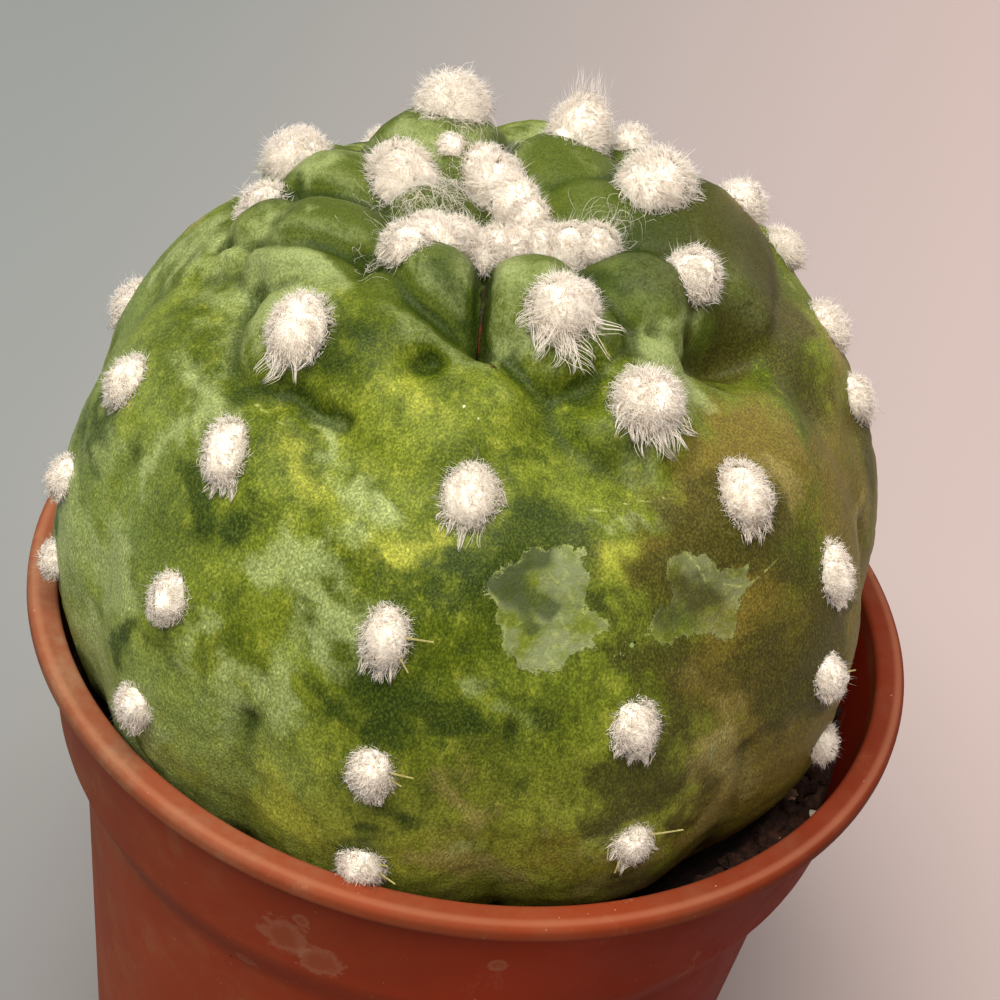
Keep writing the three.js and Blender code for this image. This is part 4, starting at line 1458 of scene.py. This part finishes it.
def stray_hairs(settings, rng):
    """Fine hairs that lie in low arcs over the crown's skin, in the globe's frame in mm."""
    paths = []
    for azimuth, polar, reach, count in STRAY_WOOL:
        scatter = rng.normal(0, reach / GROOVE_RADIUS, (count, 3))
        middle = unit(direction_of(azimuth, polar) + scatter)
        heading = unit(np.cross(middle, rng.normal(0, 1, (count, 3))))
        bend = np.cross(middle, heading) * rng.normal(0, STRAY_BEND, (count, 1))
        length = rng.uniform(*STRAY_LENGTHS, (count, 1)) / GROOVE_RADIUS
        lift = rng.uniform(*STRAY_LIFTS, (count, 1))
        joints = []
        for share in np.linspace(-0.5, 0.5, STRAY_JOINTS):
            arch = 1 - 4 * share**2
            towards = unit(middle + (heading * share + bend * arch) * length)
            joints.append(skin_points(towards) + towards * (0.05 + lift * (0.3 + arch)))
        paths.append(np.stack(joints, axis=1))
    paths = np.concatenate(paths)
    radii = settings.hair_radius / MM * rng.uniform(0.3, 0.6, len(paths))
    points, faces, tones = toned(strands(paths, radii), rng)
    return points, faces, tones, np.zeros(len(points))


def wool_material(settings):
    """Felted wool: cream hairs of slightly different tones, with a few straw-brown specks."""
    nodes = Nodes("areole_wool")
    place = nodes.coordinates()
    shade = opaque(scaled(settings.wool, (0.93, 0.88, 0.78)))
    colour = nodes.mix(nodes.step(nodes.attribute("tone"), 0.0, 0.8), shade, opaque(settings.wool))
    straw = nodes.step(nodes.noise(place, 0.5 * MM, 2), 0.68, 0.76)
    colour = nodes.mix(nodes.part(straw, 0.4), colour, opaque(settings.straw))
    blotchy = nodes.step(nodes.noise(place, 0.7 * MM), 0.3, 0.7)
    stain = nodes.part(nodes.attribute("stain"), blotchy)
    colour = nodes.mix(stain, colour, opaque(settings.stain))
    fibres = nodes.noise(nodes.coordinates((1, 1, 0.4)), 0.08 * MM, 3, 0.7)
    normal = nodes.bump(fibres, 0.03 * MM)
    return nodes.finish(
        Base_Color=colour, Roughness=0.9, Normal=normal, Specular_IOR_Level=0.1,
        Sheen_Weight=0.3, Sheen_Roughness=0.6, Subsurface_Weight=0.5,
        Subsurface_Scale=0.5 * MM, Subsurface_Radius=(1, 0.9, 0.75),
    )


def crown_tufts():
    """The crown's wool, which has grown together."""
    return [
        Tuft(azimuth, polar, width, 1, CROWN_WOOL_BEARD, wick=CROWN_WICK.get((azimuth, polar)))
        for azimuth, polar, width in CROWN_WOOL
    ]


def rib_tufts(rib):
    """The wool of one rib's areoles."""
    tufts = []
    for polar, lean in RIBS[rib]:
        oval = smoothstep(polar, *OVAL_ANGLES) - 0.8 * smoothstep(polar, *ROUND_AGAIN_ANGLES)
        own = OWN_WOOL.get((rib, polar), {})
        width = own.get("width", np.interp(polar, *zip(*WOOL_WIDTHS)))
        usual = {
            "width": width,
            "lengthening": 1 + WOOL_LENGTHENING * oval,
            "beard": BEARD_LENGTH * width,
            "stain": WOOL_STAIN * smoothstep(polar, 40, 60),
        }
        tufts.append(Tuft(rib + lean, polar, **{**usual, **own}))
    return tufts


class CactusWoolAdd(bpy.types.Operator):
    """Grow the felted wool of the crown and of every rib's areoles"""

    bl_idname = "mesh.cactus_wool_add"
    bl_label = "Areole Wool"

    def execute(self, context):
        settings = context.scene.cactus_wool
        material = wool_material(settings)
        ball = icosphere(CORE_DETAIL)
        groups = {"wool_crown": crown_tufts()}
        groups.update({f"wool_rib_{i}": rib_tufts(rib) for i, rib in enumerate(RIBS, 1)})
        for stream, (name, tufts) in enumerate(groups.items()):
            rng = random_draws(stream)
            parts = [wool_tuft(tuft, settings, ball, rng) for tuft in tufts]
            if name == "wool_crown":
                parts.append(stray_hairs(settings, rng))
            points, faces, tones, stains = joined(parts)
            piece = mesh_piece(name, place_plant(points), faces)
            set_attribute(piece, "tone", tones)
            set_attribute(piece, "stain", stains)
            shade_smooth(piece)
            finish_piece(piece, material, "areole_wool", "cactus")
        return {"FINISHED"}


def spine_material(settings):
    """Horn-like spines, straw yellow with browner streaks."""
    nodes = Nodes("spine")
    streak = nodes.noise(nodes.coordinates(), 0.4 * MM, 3)
    share = nodes.step(streak, 0.35, 0.7)
    colour = nodes.mix(share, opaque(settings.spine), opaque(settings.horn))
    return nodes.finish(Base_Color=colour, Roughness=0.4, Normal=nodes.bump(streak, 0.02 * MM))


class CactusSpinesAdd(bpy.types.Operator):
    """Set the few short spines of the lower areoles"""

    bl_idname = "mesh.cactus_spines_add"
    bl_label = "Spines"

    def execute(self, context):
        settings = context.scene.cactus_wool
        radius = settings.spine_radius / MM
        spines = []
        for azimuth, polar, turn, lean, length in SPINES:
            deselect_all()
            bpy.ops.mesh.primitive_cone_add(
                vertices=SPINE_SIDES, radius1=radius, radius2=radius * SPINE_TIP_SHARE, depth=length,
                location=(0, 0, length / 2),
            )
            spine = take_active("spine")
            bpy.ops.object.mode_set(mode="EDIT")
            bpy.ops.mesh.bevel(offset=radius * SPINE_ROUNDING, segments=2)
            object_mode()
            _, root, outward = wool_place(azimuth, polar, SPINE_SEAT)
            a, b = math.radians(turn), math.radians(lean)
            heading = np.array([math.sin(b) * math.cos(a), math.sin(b) * math.sin(a), math.cos(b)])
            side = unit(np.cross([0, 0, 1], heading))
            turned = np.stack([side, np.cross(heading, side), heading]) @ areole_axes(outward)
            set_points(spine, place_plant(points_of(spine) @ turned + root))
            spines.append(spine)
        deselect_all()
        for spine in spines:
            spine.select_set(True)
        bpy.context.view_layer.objects.active = spines[0]
        bpy.ops.object.join()
        piece = take_active("cactus_spines")
        shade_smooth(piece)
        finish_piece(piece, spine_material(settings), "spine", "cactus")
        return {"FINISHED"}


# The pot's outline, a size down from the rim, in millimetres
LIP_THICKNESS = 1.3
LIP_ROUNDING = 0.45
COLLAR_DEPTH = 9.2
COLLAR_TOP_INSET = 1.15
COLLAR_FOOT_INSET = 2.3
STEP_HEIGHT = 4.8
BODY_TOP_INSET = 4.3
FOOT_INSET = 7.3
FOOT_ROUNDING = 0.8
FLOOR_THICKNESS = 1.2
POT_STEPS = 192
DRAIN_HOLES = 6
DRAIN_HOLE_RADIUS = 2
DRAIN_CIRCLE_RADIUS = 13
# Small steps and roundings of the pot's profile, in millimetres
UNDER_LIP = 0.2
INNER_ROUNDING = 0.35
FLOOR_FILLET = 0.3
# Pale rub marks on the wall: (azimuth, height), radius, in degrees and millimetres
RUB_MARKS = [
    ((-58, 35.2), 0.7),
    ((-54.5, 35.6), 0.75),
    ((-51, 35.9), 0.6),
    ((-15, 42.2), 1.9),
    ((-10, 41), 1.7),
    ((-13, 44.4), 0.6),
    ((-22, 36.5), 0.8),
    ((12, 44), 0.7),
    ((150, 30), 1.6),
]
# A dark speck on the wall, given in the same way
POT_SPECK = ((-25, 35.5), 0.16)


def arc(radius, height, rounding, start, end, steps=6):
    """A round corner's points as (radius, height)."""
    angles = np.radians(np.linspace(start, end, steps))
    return [(radius + rounding * math.cos(a), height + rounding * math.sin(a)) for a in angles]


def eased_step(low_radius, low_height, high_radius, high_height, steps=10):
    """The soft swell from the pot's wall out to its collar, as (radius, height)."""
    shares = np.linspace(0, 1, steps)
    radii = lerp(low_radius, high_radius, (shares + smoothstep(shares, 0, 1)) / 2)
    return list(zip(radii, lerp(low_height, high_height, shares)))


def spin_profile(name, profile, steps):
    """A closed body of revolution about +Z from (radius, height) pairs in metres."""
    deselect_all()
    points = np.array([(radius, 0, height) for radius, height in profile])
    piece = mesh_piece(name, points, [])
    piece.data.clear_geometry()
    edges = [(i, i + 1) for i in range(len(profile) - 1)]
    piece.data.from_pydata(points.tolist(), edges, [])
    select_only(piece)
    bpy.ops.object.mode_set(mode="EDIT")
    bpy.ops.mesh.select_all(action="SELECT")
    bpy.ops.mesh.spin(
        steps=steps, angle=2 * math.pi, center=(0, 0, 0), axis=(0, 0, 1), use_auto_merge=True
    )
    bpy.ops.mesh.select_all(action="SELECT")
    bpy.ops.mesh.remove_doubles(threshold=1e-6)
    bpy.ops.mesh.normals_make_consistent(inside=False)
    object_mode()
    return piece


def cut_away(piece, tool):
    """Cuts one piece by another, which is then removed."""
    modifier = piece.modifiers.new("cut", "BOOLEAN")
    modifier.operation = "DIFFERENCE"
    modifier.solver = "EXACT"
    modifier.object = tool
    apply_modifiers(piece)
    bpy.data.objects.remove(tool)


def wall_place(settings, turn, rise):
    """The place on the wall's outside at an azimuth and a height, in millimetres."""
    rim, top = settings.rim_radius / MM, settings.height / MM
    collar_foot = top - COLLAR_DEPTH
    heights = [0, collar_foot - STEP_HEIGHT, collar_foot, top - LIP_THICKNESS]
    insets = [FOOT_INSET, BODY_TOP_INSET, COLLAR_FOOT_INSET, COLLAR_TOP_INSET]
    radius = rim - np.interp(rise, heights, insets)
    return direction_of(turn, 90) * radius + [0, 0, rise]


def plastic_material(settings):
    """Matte moulded plastic with uneven colour, a film of dust and painted sheen, painted shade at the
    right and on the lip, and pale rub marks.
    """
    nodes = Nodes("pot_plastic")
    part, step = nodes.part, nodes.step
    place = nodes.coordinates()
    across = nodes.axis(place, "X")
    dust_and_sheen = opaque(settings.dust_and_sheen)
    brown = opaque(scaled(settings.plastic, (0.72, 0.8, 0.85)))
    uneven = step(nodes.noise(place, 14 * MM, 3), 0.35, 0.7)
    colour = nodes.mix(uneven, opaque(settings.plastic), brown)
    # Painted shade: the wall darkens and deepens in hue towards the right
    shaded = nodes.tinted(colour, (0.6, 0.36, 0.15))
    colour = nodes.mix(step(across, 4 * MM, 24 * MM), colour, shaded)

    # The film of dust and painted sheen, thickest at the left, and the lip with its painted shade and its
    # worn edge
    lip_foot = (POT_TOP - LIP_THICKNESS - UNDER_LIP) * MM
    on_lip = step(nodes.axis(place, "Z"), lip_foot, lip_foot + 0.3 * MM)
    haze = step(nodes.noise(place, 4 * MM, 5, 0.7), 0.4, 0.8)
    film = nodes.plus(0.03, part(step(across, 8 * MM, -30 * MM), 0.62))
    film = nodes.plus(film, part(on_lip, 0.12))
    colour = nodes.mix(part(nodes.plus(haze, 0.45), film), colour, dust_and_sheen)
    # Painted shade on the lip's top, which faces the lights: darker red, with a duller hue
    colour = nodes.mix(on_lip, colour, nodes.tinted(colour, (0.78, 1.1, 1.25)))
    flat = nodes.add("ShaderNodeVectorMath", {0: place, 1: (1, 1, 0)}, operation="MULTIPLY")
    girth = nodes.add("ShaderNodeVectorMath", {0: flat.outputs[0]}, operation="LENGTH")
    girth = girth.outputs["Value"]
    # The worn ring at the lip's outer edge, which also paints a highlight along it
    edge = (settings.rim_radius / MM - 0.5) * MM
    worn = part(step(girth, edge - 0.35 * MM, edge), on_lip)
    worn = part(worn, step(girth, edge + 0.35 * MM, edge + 0.1 * MM))
    colour = nodes.mix(part(worn, 0.14), colour, opaque(settings.worn))

    # Streaky rubs, small pale specks, round rub marks and a dark speck
    streaky = nodes.noise(nodes.coordinates((1, 1, 0.35)), 2.6 * MM, 6, 0.7)
    rub = part(step(streaky, 0.6, 0.64), step(nodes.noise(place, 8 * MM, 2), 0.47, 0.6))
    colour = nodes.mix(part(rub, 0.4), colour, dust_and_sheen)
    cells = nodes.add("ShaderNodeTexVoronoi", {"Vector": place, "Scale": 1 / (1.1 * MM)})
    specks = step(cells.outputs["Distance"], 0.06, 0.03)
    colour = nodes.mix(part(specks, 0.4), colour, opaque(settings.chalk))
    torn = nodes.noise(place, 0.9 * MM, 5, 0.75)

    def torn_reach(turn, rise, radius):
        """How far a place is from the middle of a mark with a torn edge."""
        away = nodes.distance(place, wall_place(settings, turn, rise) * MM)
        return nodes.plus(away, part(torn, radius * 1.6 * MM))

    for middle, radius in RUB_MARKS:
        reach = torn_reach(*middle, radius)
        mark = step(reach, radius * 1.75 * MM, radius * 1.5 * MM)
        rim = part(mark, step(reach, radius * 1.1 * MM, radius * 1.5 * MM))
        colour = nodes.mix(part(mark, 0.3), colour, dust_and_sheen)
        colour = nodes.mix(part(rim, 0.12), colour, opaque(settings.mark_rim))
    middle, radius = POT_SPECK
    dirt = step(torn_reach(*middle, radius), radius * 1.75 * MM, radius * 1.5 * MM)
    colour = nodes.mix(dirt, colour, opaque(settings.dirt))
    normal = nodes.bump(nodes.noise(place, 0.2 * MM, 3), 0.01 * MM)
    roughness = nodes.plus(0.6, part(haze, 0.2))
    return nodes.finish(
        Base_Color=colour, Roughness=roughness, Normal=normal, Specular_IOR_Level=0.06,
    )


class NurseryPotAdd(bpy.types.Operator):
    """Turn the pot with its lip, stacking collar and drained floor"""

    bl_idname = "mesh.nursery_pot_add"
    bl_label = "Nursery Pot"

    def execute(self, context):
        settings = context.scene.nursery_pot
        top = settings.height / MM
        rim = settings.rim_radius / MM
        wall = settings.wall / MM
        collar_foot = top - COLLAR_DEPTH
        step_foot = collar_foot - STEP_HEIGHT
        under_lip = top - LIP_THICKNESS
        body_top, foot = rim - BODY_TOP_INSET, rim - FOOT_INSET
        collar_top, collar_low = rim - COLLAR_TOP_INSET, rim - COLLAR_FOOT_INSET
        profile = [
            (0, 0),
            *arc(foot - FOOT_ROUNDING, FOOT_ROUNDING, FOOT_ROUNDING, -90, 0),
            *eased_step(body_top, step_foot, collar_low, collar_foot),
            (collar_top, under_lip - UNDER_LIP),
            (collar_top + UNDER_LIP / 2, under_lip),
            *arc(rim - LIP_ROUNDING, under_lip + LIP_ROUNDING, LIP_ROUNDING, -90, 0),
            *arc(rim - LIP_ROUNDING, top - LIP_ROUNDING, LIP_ROUNDING, 0, 90),
            *arc(
                collar_top - wall + INNER_ROUNDING, top - INNER_ROUNDING, INNER_ROUNDING, 90, 180, 5,
            ),
            (collar_low - wall, collar_foot + wall),
            (body_top - wall, step_foot + wall),
            (foot - wall, FLOOR_THICKNESS + FLOOR_FILLET),
            (foot - wall - FLOOR_FILLET, FLOOR_THICKNESS),
            (0, FLOOR_THICKNESS),
        ]
        pot = spin_profile("nursery_pot", [(r * MM, z * MM) for r, z in profile], POT_STEPS)
        for i in range(DRAIN_HOLES):
            turn = 2 * math.pi * i / DRAIN_HOLES
            deselect_all()
            bpy.ops.mesh.primitive_cylinder_add(
                vertices=32, radius=DRAIN_HOLE_RADIUS * MM, depth=3 * FLOOR_THICKNESS * MM,
                location=(
                    DRAIN_CIRCLE_RADIUS * MM * math.cos(turn),
                    DRAIN_CIRCLE_RADIUS * MM * math.sin(turn),
                    0,
                ),
            )
            cut_away(pot, take_active("drain_hole"))
        select_only(pot)
        bpy.ops.object.shade_smooth_by_angle(angle=math.radians(35))
        finish_piece(pot, plastic_material(settings), "pot_plastic", "pot")
        return {"FINISHED"}


# The soil, in millimetres
SOIL_GAP = 0.3
SOIL_RINGS = 22
SOIL_RING_INNER = 12
PLANT_GAP = 0.35
CRUMB_SIZES = (0.25, 0.75)
CRUMB_RING = 4.5
# The soil's broken edge, inwards and down, and where its rings begin inside the edge
SOIL_EDGE = (0.15, 0.7)
SOIL_RING_INSET = 0.5
# The height of the soil's rolls and of its grains, and how far it has settled
SOIL_ROLL = 0.22
SOIL_GRAIN = 0.09
SOIL_SETTLING = 0.1


def soil_material(settings):
    """Dark crumbly peat with browner grains."""
    nodes = Nodes("potting_soil")
    grains = nodes.noise(nodes.coordinates(), 0.8 * MM, 5, 0.7)
    tone = nodes.attribute("tone")
    brown = opaque(scaled(settings.peat, (3.2, 3.4, 3.2)))
    colour = nodes.mix(nodes.step(grains, 0.42, 0.7), opaque(settings.peat), brown)
    colour = nodes.mix(nodes.step(tone, 0.86, 0.9), colour, opaque(settings.bark))
    colour = nodes.mix(nodes.step(tone, 0.985, 0.99), colour, opaque(settings.grit))
    normal = nodes.bump(grains, 0.3 * MM)
    return nodes.finish(Base_Color=colour, Roughness=0.95, Normal=normal, Specular_IOR_Level=0.2)


class PottingSoilAdd(bpy.types.Operator):
    """Fill the pot with soil, a plain hole for the stem and loose crumbs on top"""

    bl_idname = "mesh.potting_soil_add"
    bl_label = "Potting Soil"

    def execute(self, context):
        settings = context.scene.potting_soil
        pot = context.scene.nursery_pot
        rim, wall = pot.rim_radius / MM, pot.wall / MM
        collar_foot = pot.height / MM - COLLAR_DEPTH
        step_foot = collar_foot - STEP_HEIGHT
        top = (pot.height - settings.depth) / MM
        inset = wall + SOIL_GAP
        share = (top - collar_foot) / COLLAR_DEPTH
        outer = lerp(rim - COLLAR_FOOT_INSET, rim - COLLAR_TOP_INSET, share) - inset
        outer_ring = outer - SOIL_RING_INSET
        profile = [
            (0, FLOOR_THICKNESS + SOIL_GAP),
            (rim - FOOT_INSET - inset - SOIL_GAP, FLOOR_THICKNESS + SOIL_GAP),
            (rim - BODY_TOP_INSET - inset, step_foot + wall + SOIL_GAP),
            (rim - COLLAR_FOOT_INSET - inset, collar_foot + wall + SOIL_GAP),
            (outer - SOIL_EDGE[0], top - SOIL_EDGE[1]),
            *[(lerp(outer_ring, SOIL_RING_INNER, i / SOIL_RINGS), top) for i in range(SOIL_RINGS)],
            (0, top),
        ]
        soil = spin_profile("potting_soil", [(r * MM, z * MM) for r, z in profile], POT_STEPS)
        self.make_crumbly(soil, top)
        cut_away(soil, self.stem_hole())
        material = soil_material(settings)
        set_attribute(soil, "tone", np.zeros(len(soil.data.vertices)))
        shade_smooth(soil)
        finish_piece(soil, material, "potting_soil", "soil")
        self.add_crumbs(settings, material, outer, top)
        return {"FINISHED"}

    def make_crumbly(self, soil, top):
        """Roughens the soil's top alone."""
        points = points_of(soil)
        is_top = np.abs(points[:, 2] / MM - top) < 0.01
        rng = random_draws(SOIL_STREAM)
        place = points / MM
        coarse = wavy(place, rng, 0.8)[:, 0] + wavy(place, rng, 1.6)[:, 1]
        grain = rng.normal(0, SOIL_GRAIN, len(points))
        points[:, 2] += is_top * MM * (SOIL_ROLL * coarse + grain - SOIL_SETTLING)
        set_points(soil, points)

    def stem_hole(self):
        """The smooth outside of the globe's underside, with a gap."""
        reach = GROOVE_RADIUS + RIB_HEIGHT + PLANT_GAP
        points, faces = icosphere(6)
        bowl = points * reach
        below = np.minimum(0, bowl[:, 2] - FLATTEN_BELOW)
        bowl[:, 2] += FLATTEN_RATE * below**2
        deep = bowl[:, 2] < NECK_TOP - PLANT_GAP
        near_axis = np.hypot(bowl[:, 0], bowl[:, 1]) < NECK_TOP_RADIUS + PLANT_GAP
        bowl[:, 2] = np.where(deep & near_axis, NECK_FOOT - PLANT_GAP, bowl[:, 2])
        return mesh_piece("stem_hole", place_plant(bowl), faces)

    def add_crumbs(self, settings, material, outer, top):
        """Loose crumbs of soil on the ring that shows between the plant and the pot."""
        rng = random_draws(CRUMB_STREAM)
        ball, ball_faces = icosphere(2)
        parts = []
        while len(parts) < settings.crumbs:
            turn = rng.uniform(0, 2 * math.pi)
            size = rng.uniform(*CRUMB_SIZES) * rng.uniform(0.6, 1.0)
            radius = rng.uniform(outer - CRUMB_RING, outer - size)
            centre = np.array([radius * math.cos(turn), radius * math.sin(turn), top])
            from_globe = np.linalg.norm(centre - GLOBE_CENTRE)
            if from_globe < GROOVE_RADIUS + RIB_HEIGHT + size:
                continue
            lumps = 1 + 0.22 * wavy(ball, rng, 2.5)[:, :1] + rng.normal(0, 0.1, (len(ball), 1))
            stretch = size * rng.uniform(0.7, 1.2, 3)
            parts.append((ball * lumps * stretch + centre, ball_faces, np.full(len(ball), rng.random())))
        points, faces, tones = joined(parts)
        piece = mesh_piece("soil_crumbs", points * MM, faces)
        set_attribute(piece, "tone", tones)
        finish_piece(piece, material, "potting_soil", "soil")


# The photograph's camera, in millimetres in the row's frame
CAMERA_PLACE = (0, -118.87, 150.52)
CAMERA_RIGHT = (0.9801, 0.1211, 0.1574)
CAMERA_UP = (-0.1986, 0.6083, 0.7685)
CAMERA_FORWARD = (0.0027, 0.7844, -0.6202)
CAMERA_LENS = 90
SENSOR_WIDTH = 36
# The floor's side and half the width over which its colour turns, in metres
FLOOR_SIZE = 6
FLOOR_BLEND = 0.07
# Painted shadow of the pot on the floor in front at the right
NEAR_RIGHT_SHADE = 0.72
# Square soft lights: the setting of their power, then place and size in metres, and colour
LIGHTS = {
    "key_light": ("key_power", (-0.12, -0.28, 0.72), 0.45, (1, 0.96, 0.89)),
    "side_light": ("side_power", (-0.46, 0.1, 0.3), 0.3, (0.97, 1, 0.98)),
    "back_light": ("back_power", (0.34, 0.36, 0.3), 0.3, (1, 0.88, 0.85)),
}
ROOM_COLOUR = (1, 0.98, 0.95)


def floor_material(settings):
    """Plain pale paper with its light painted in: greyer and darker at the left, pinker and brighter at
    the right, painted shade in front at the left and painted shadow of the pot in front at the right.
    """
    nodes = Nodes("studio_floor")
    place = nodes.coordinates()
    # Painted shade in front of the pot, and painted light warming towards the right
    nearness = nodes.step(nodes.axis(place, "Y"), FLOOR_BLEND, -FLOOR_BLEND)
    left = nodes.mix(nearness, opaque(settings.floor_left), opaque(settings.floor_near))
    share = nodes.step(nodes.axis(place, "X"), -FLOOR_BLEND, FLOOR_BLEND)
    # Painted shadow of the pot on the floor in front at the right
    near_right = scaled(settings.floor_right, (NEAR_RIGHT_SHADE,) * 3)
    right = nodes.mix(nearness, opaque(settings.floor_right), opaque(near_right))
    colour = nodes.mix(share, left, right)
    paper = nodes.noise(place, 0.9 * MM, 3)
    normal = nodes.bump(paper, 0.02 * MM)
    return nodes.finish(
        Base_Color=colour, Roughness=0.9, Normal=normal, Specular_IOR_Level=0.1,
    )


class StudioAdd(bpy.types.Operator):
    """Lay the pale floor and set the soft lights and the camera"""

    bl_idname = "scene.cactus_studio_add"
    bl_label = "Studio"

    def execute(self, context):
        settings = context.scene.cactus_studio
        deselect_all()
        bpy.ops.mesh.primitive_plane_add(size=FLOOR_SIZE)
        floor = take_active("studio_floor")
        floor.data.materials.append(floor_material(settings))
        for name, (power, *light) in LIGHTS.items():
            self.add_light(name, getattr(settings, power), *light)
        world = bpy.data.worlds.new("studio_world")
        world.use_nodes = True
        room = world.node_tree.nodes["Background"].inputs
        room["Color"].default_value = opaque(ROOM_COLOUR)
        room["Strength"].default_value = settings.room_strength
        context.scene.world = world
        context.scene.view_settings.view_transform = "Standard"
        self.add_camera(context)
        return {"FINISHED"}

    def add_light(self, name, power, place, size, colour):
        """A square soft light that looks at the plant."""
        deselect_all()
        bpy.ops.object.light_add(type="AREA", location=place)
        light = bpy.context.object
        light.name = name
        light.data.energy = power
        light.data.size = size
        light.data.color = colour
        towards = light.location - Vector(GLOBE_CENTRE * MM)
        light.rotation_euler = towards.to_track_quat("Z", "Y").to_euler()

    def add_camera(self, context):
        camera_data = bpy.data.cameras.new("camera")
        camera_data.lens = CAMERA_LENS
        camera_data.sensor_width = SENSOR_WIDTH
        camera_data.clip_start = 0.01
        camera = bpy.data.objects.new("camera", camera_data)
        context.scene.collection.objects.link(camera)
        back = [-c for c in CAMERA_FORWARD]
        turn = Matrix((CAMERA_RIGHT, CAMERA_UP, back)).transposed()
        place = Matrix.Translation([c * MM for c in CAMERA_PLACE])
        camera.matrix_world = place @ turn.to_4x4()
        context.scene.camera = camera


class CactusPanel(bpy.types.Panel):
    """Lists the pieces and the stage in the sidebar"""

    bl_idname = "VIEW3D_PT_potted_cactus"
    bl_label = "Potted Cactus"
    bl_space_type = "VIEW_3D"
    bl_region_type = "UI"
    bl_category = "Cactus"

    def draw(self, context):
        for operator in OPERATORS:
            self.layout.operator(operator.bl_idname)


SETTINGS = {
    "cactus_skin": CactusSkinSettings,
    "cactus_wool": CactusWoolSettings,
    "nursery_pot": NurseryPotSettings,
    "potting_soil": PottingSoilSettings,
    "cactus_studio": StudioSettings,
}
OPERATORS = [
    StudioAdd,
    NurseryPotAdd,
    PottingSoilAdd,
    CactusSkinAdd,
    CactusWoolAdd,
    CactusSpinesAdd,
]


def register():
    for cls in [*SETTINGS.values(), *OPERATORS, CactusPanel]:
        bpy.utils.register_class(cls)
    for name, cls in SETTINGS.items():
        setattr(bpy.types.Scene, name, PointerProperty(type=cls))


def unregister():
    for name in SETTINGS:
        delattr(bpy.types.Scene, name)
    for cls in [CactusPanel, *reversed(OPERATORS), *reversed(SETTINGS.values())]:
        bpy.utils.unregister_class(cls)


def main():
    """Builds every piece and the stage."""
    register()
    bpy.ops.scene.cactus_studio_add()
    bpy.ops.mesh.nursery_pot_add()
    bpy.ops.mesh.potting_soil_add()
    bpy.ops.mesh.cactus_skin_add()
    bpy.ops.mesh.cactus_wool_add()
    bpy.ops.mesh.cactus_spines_add()


if __name__ == "__main__":
    main()
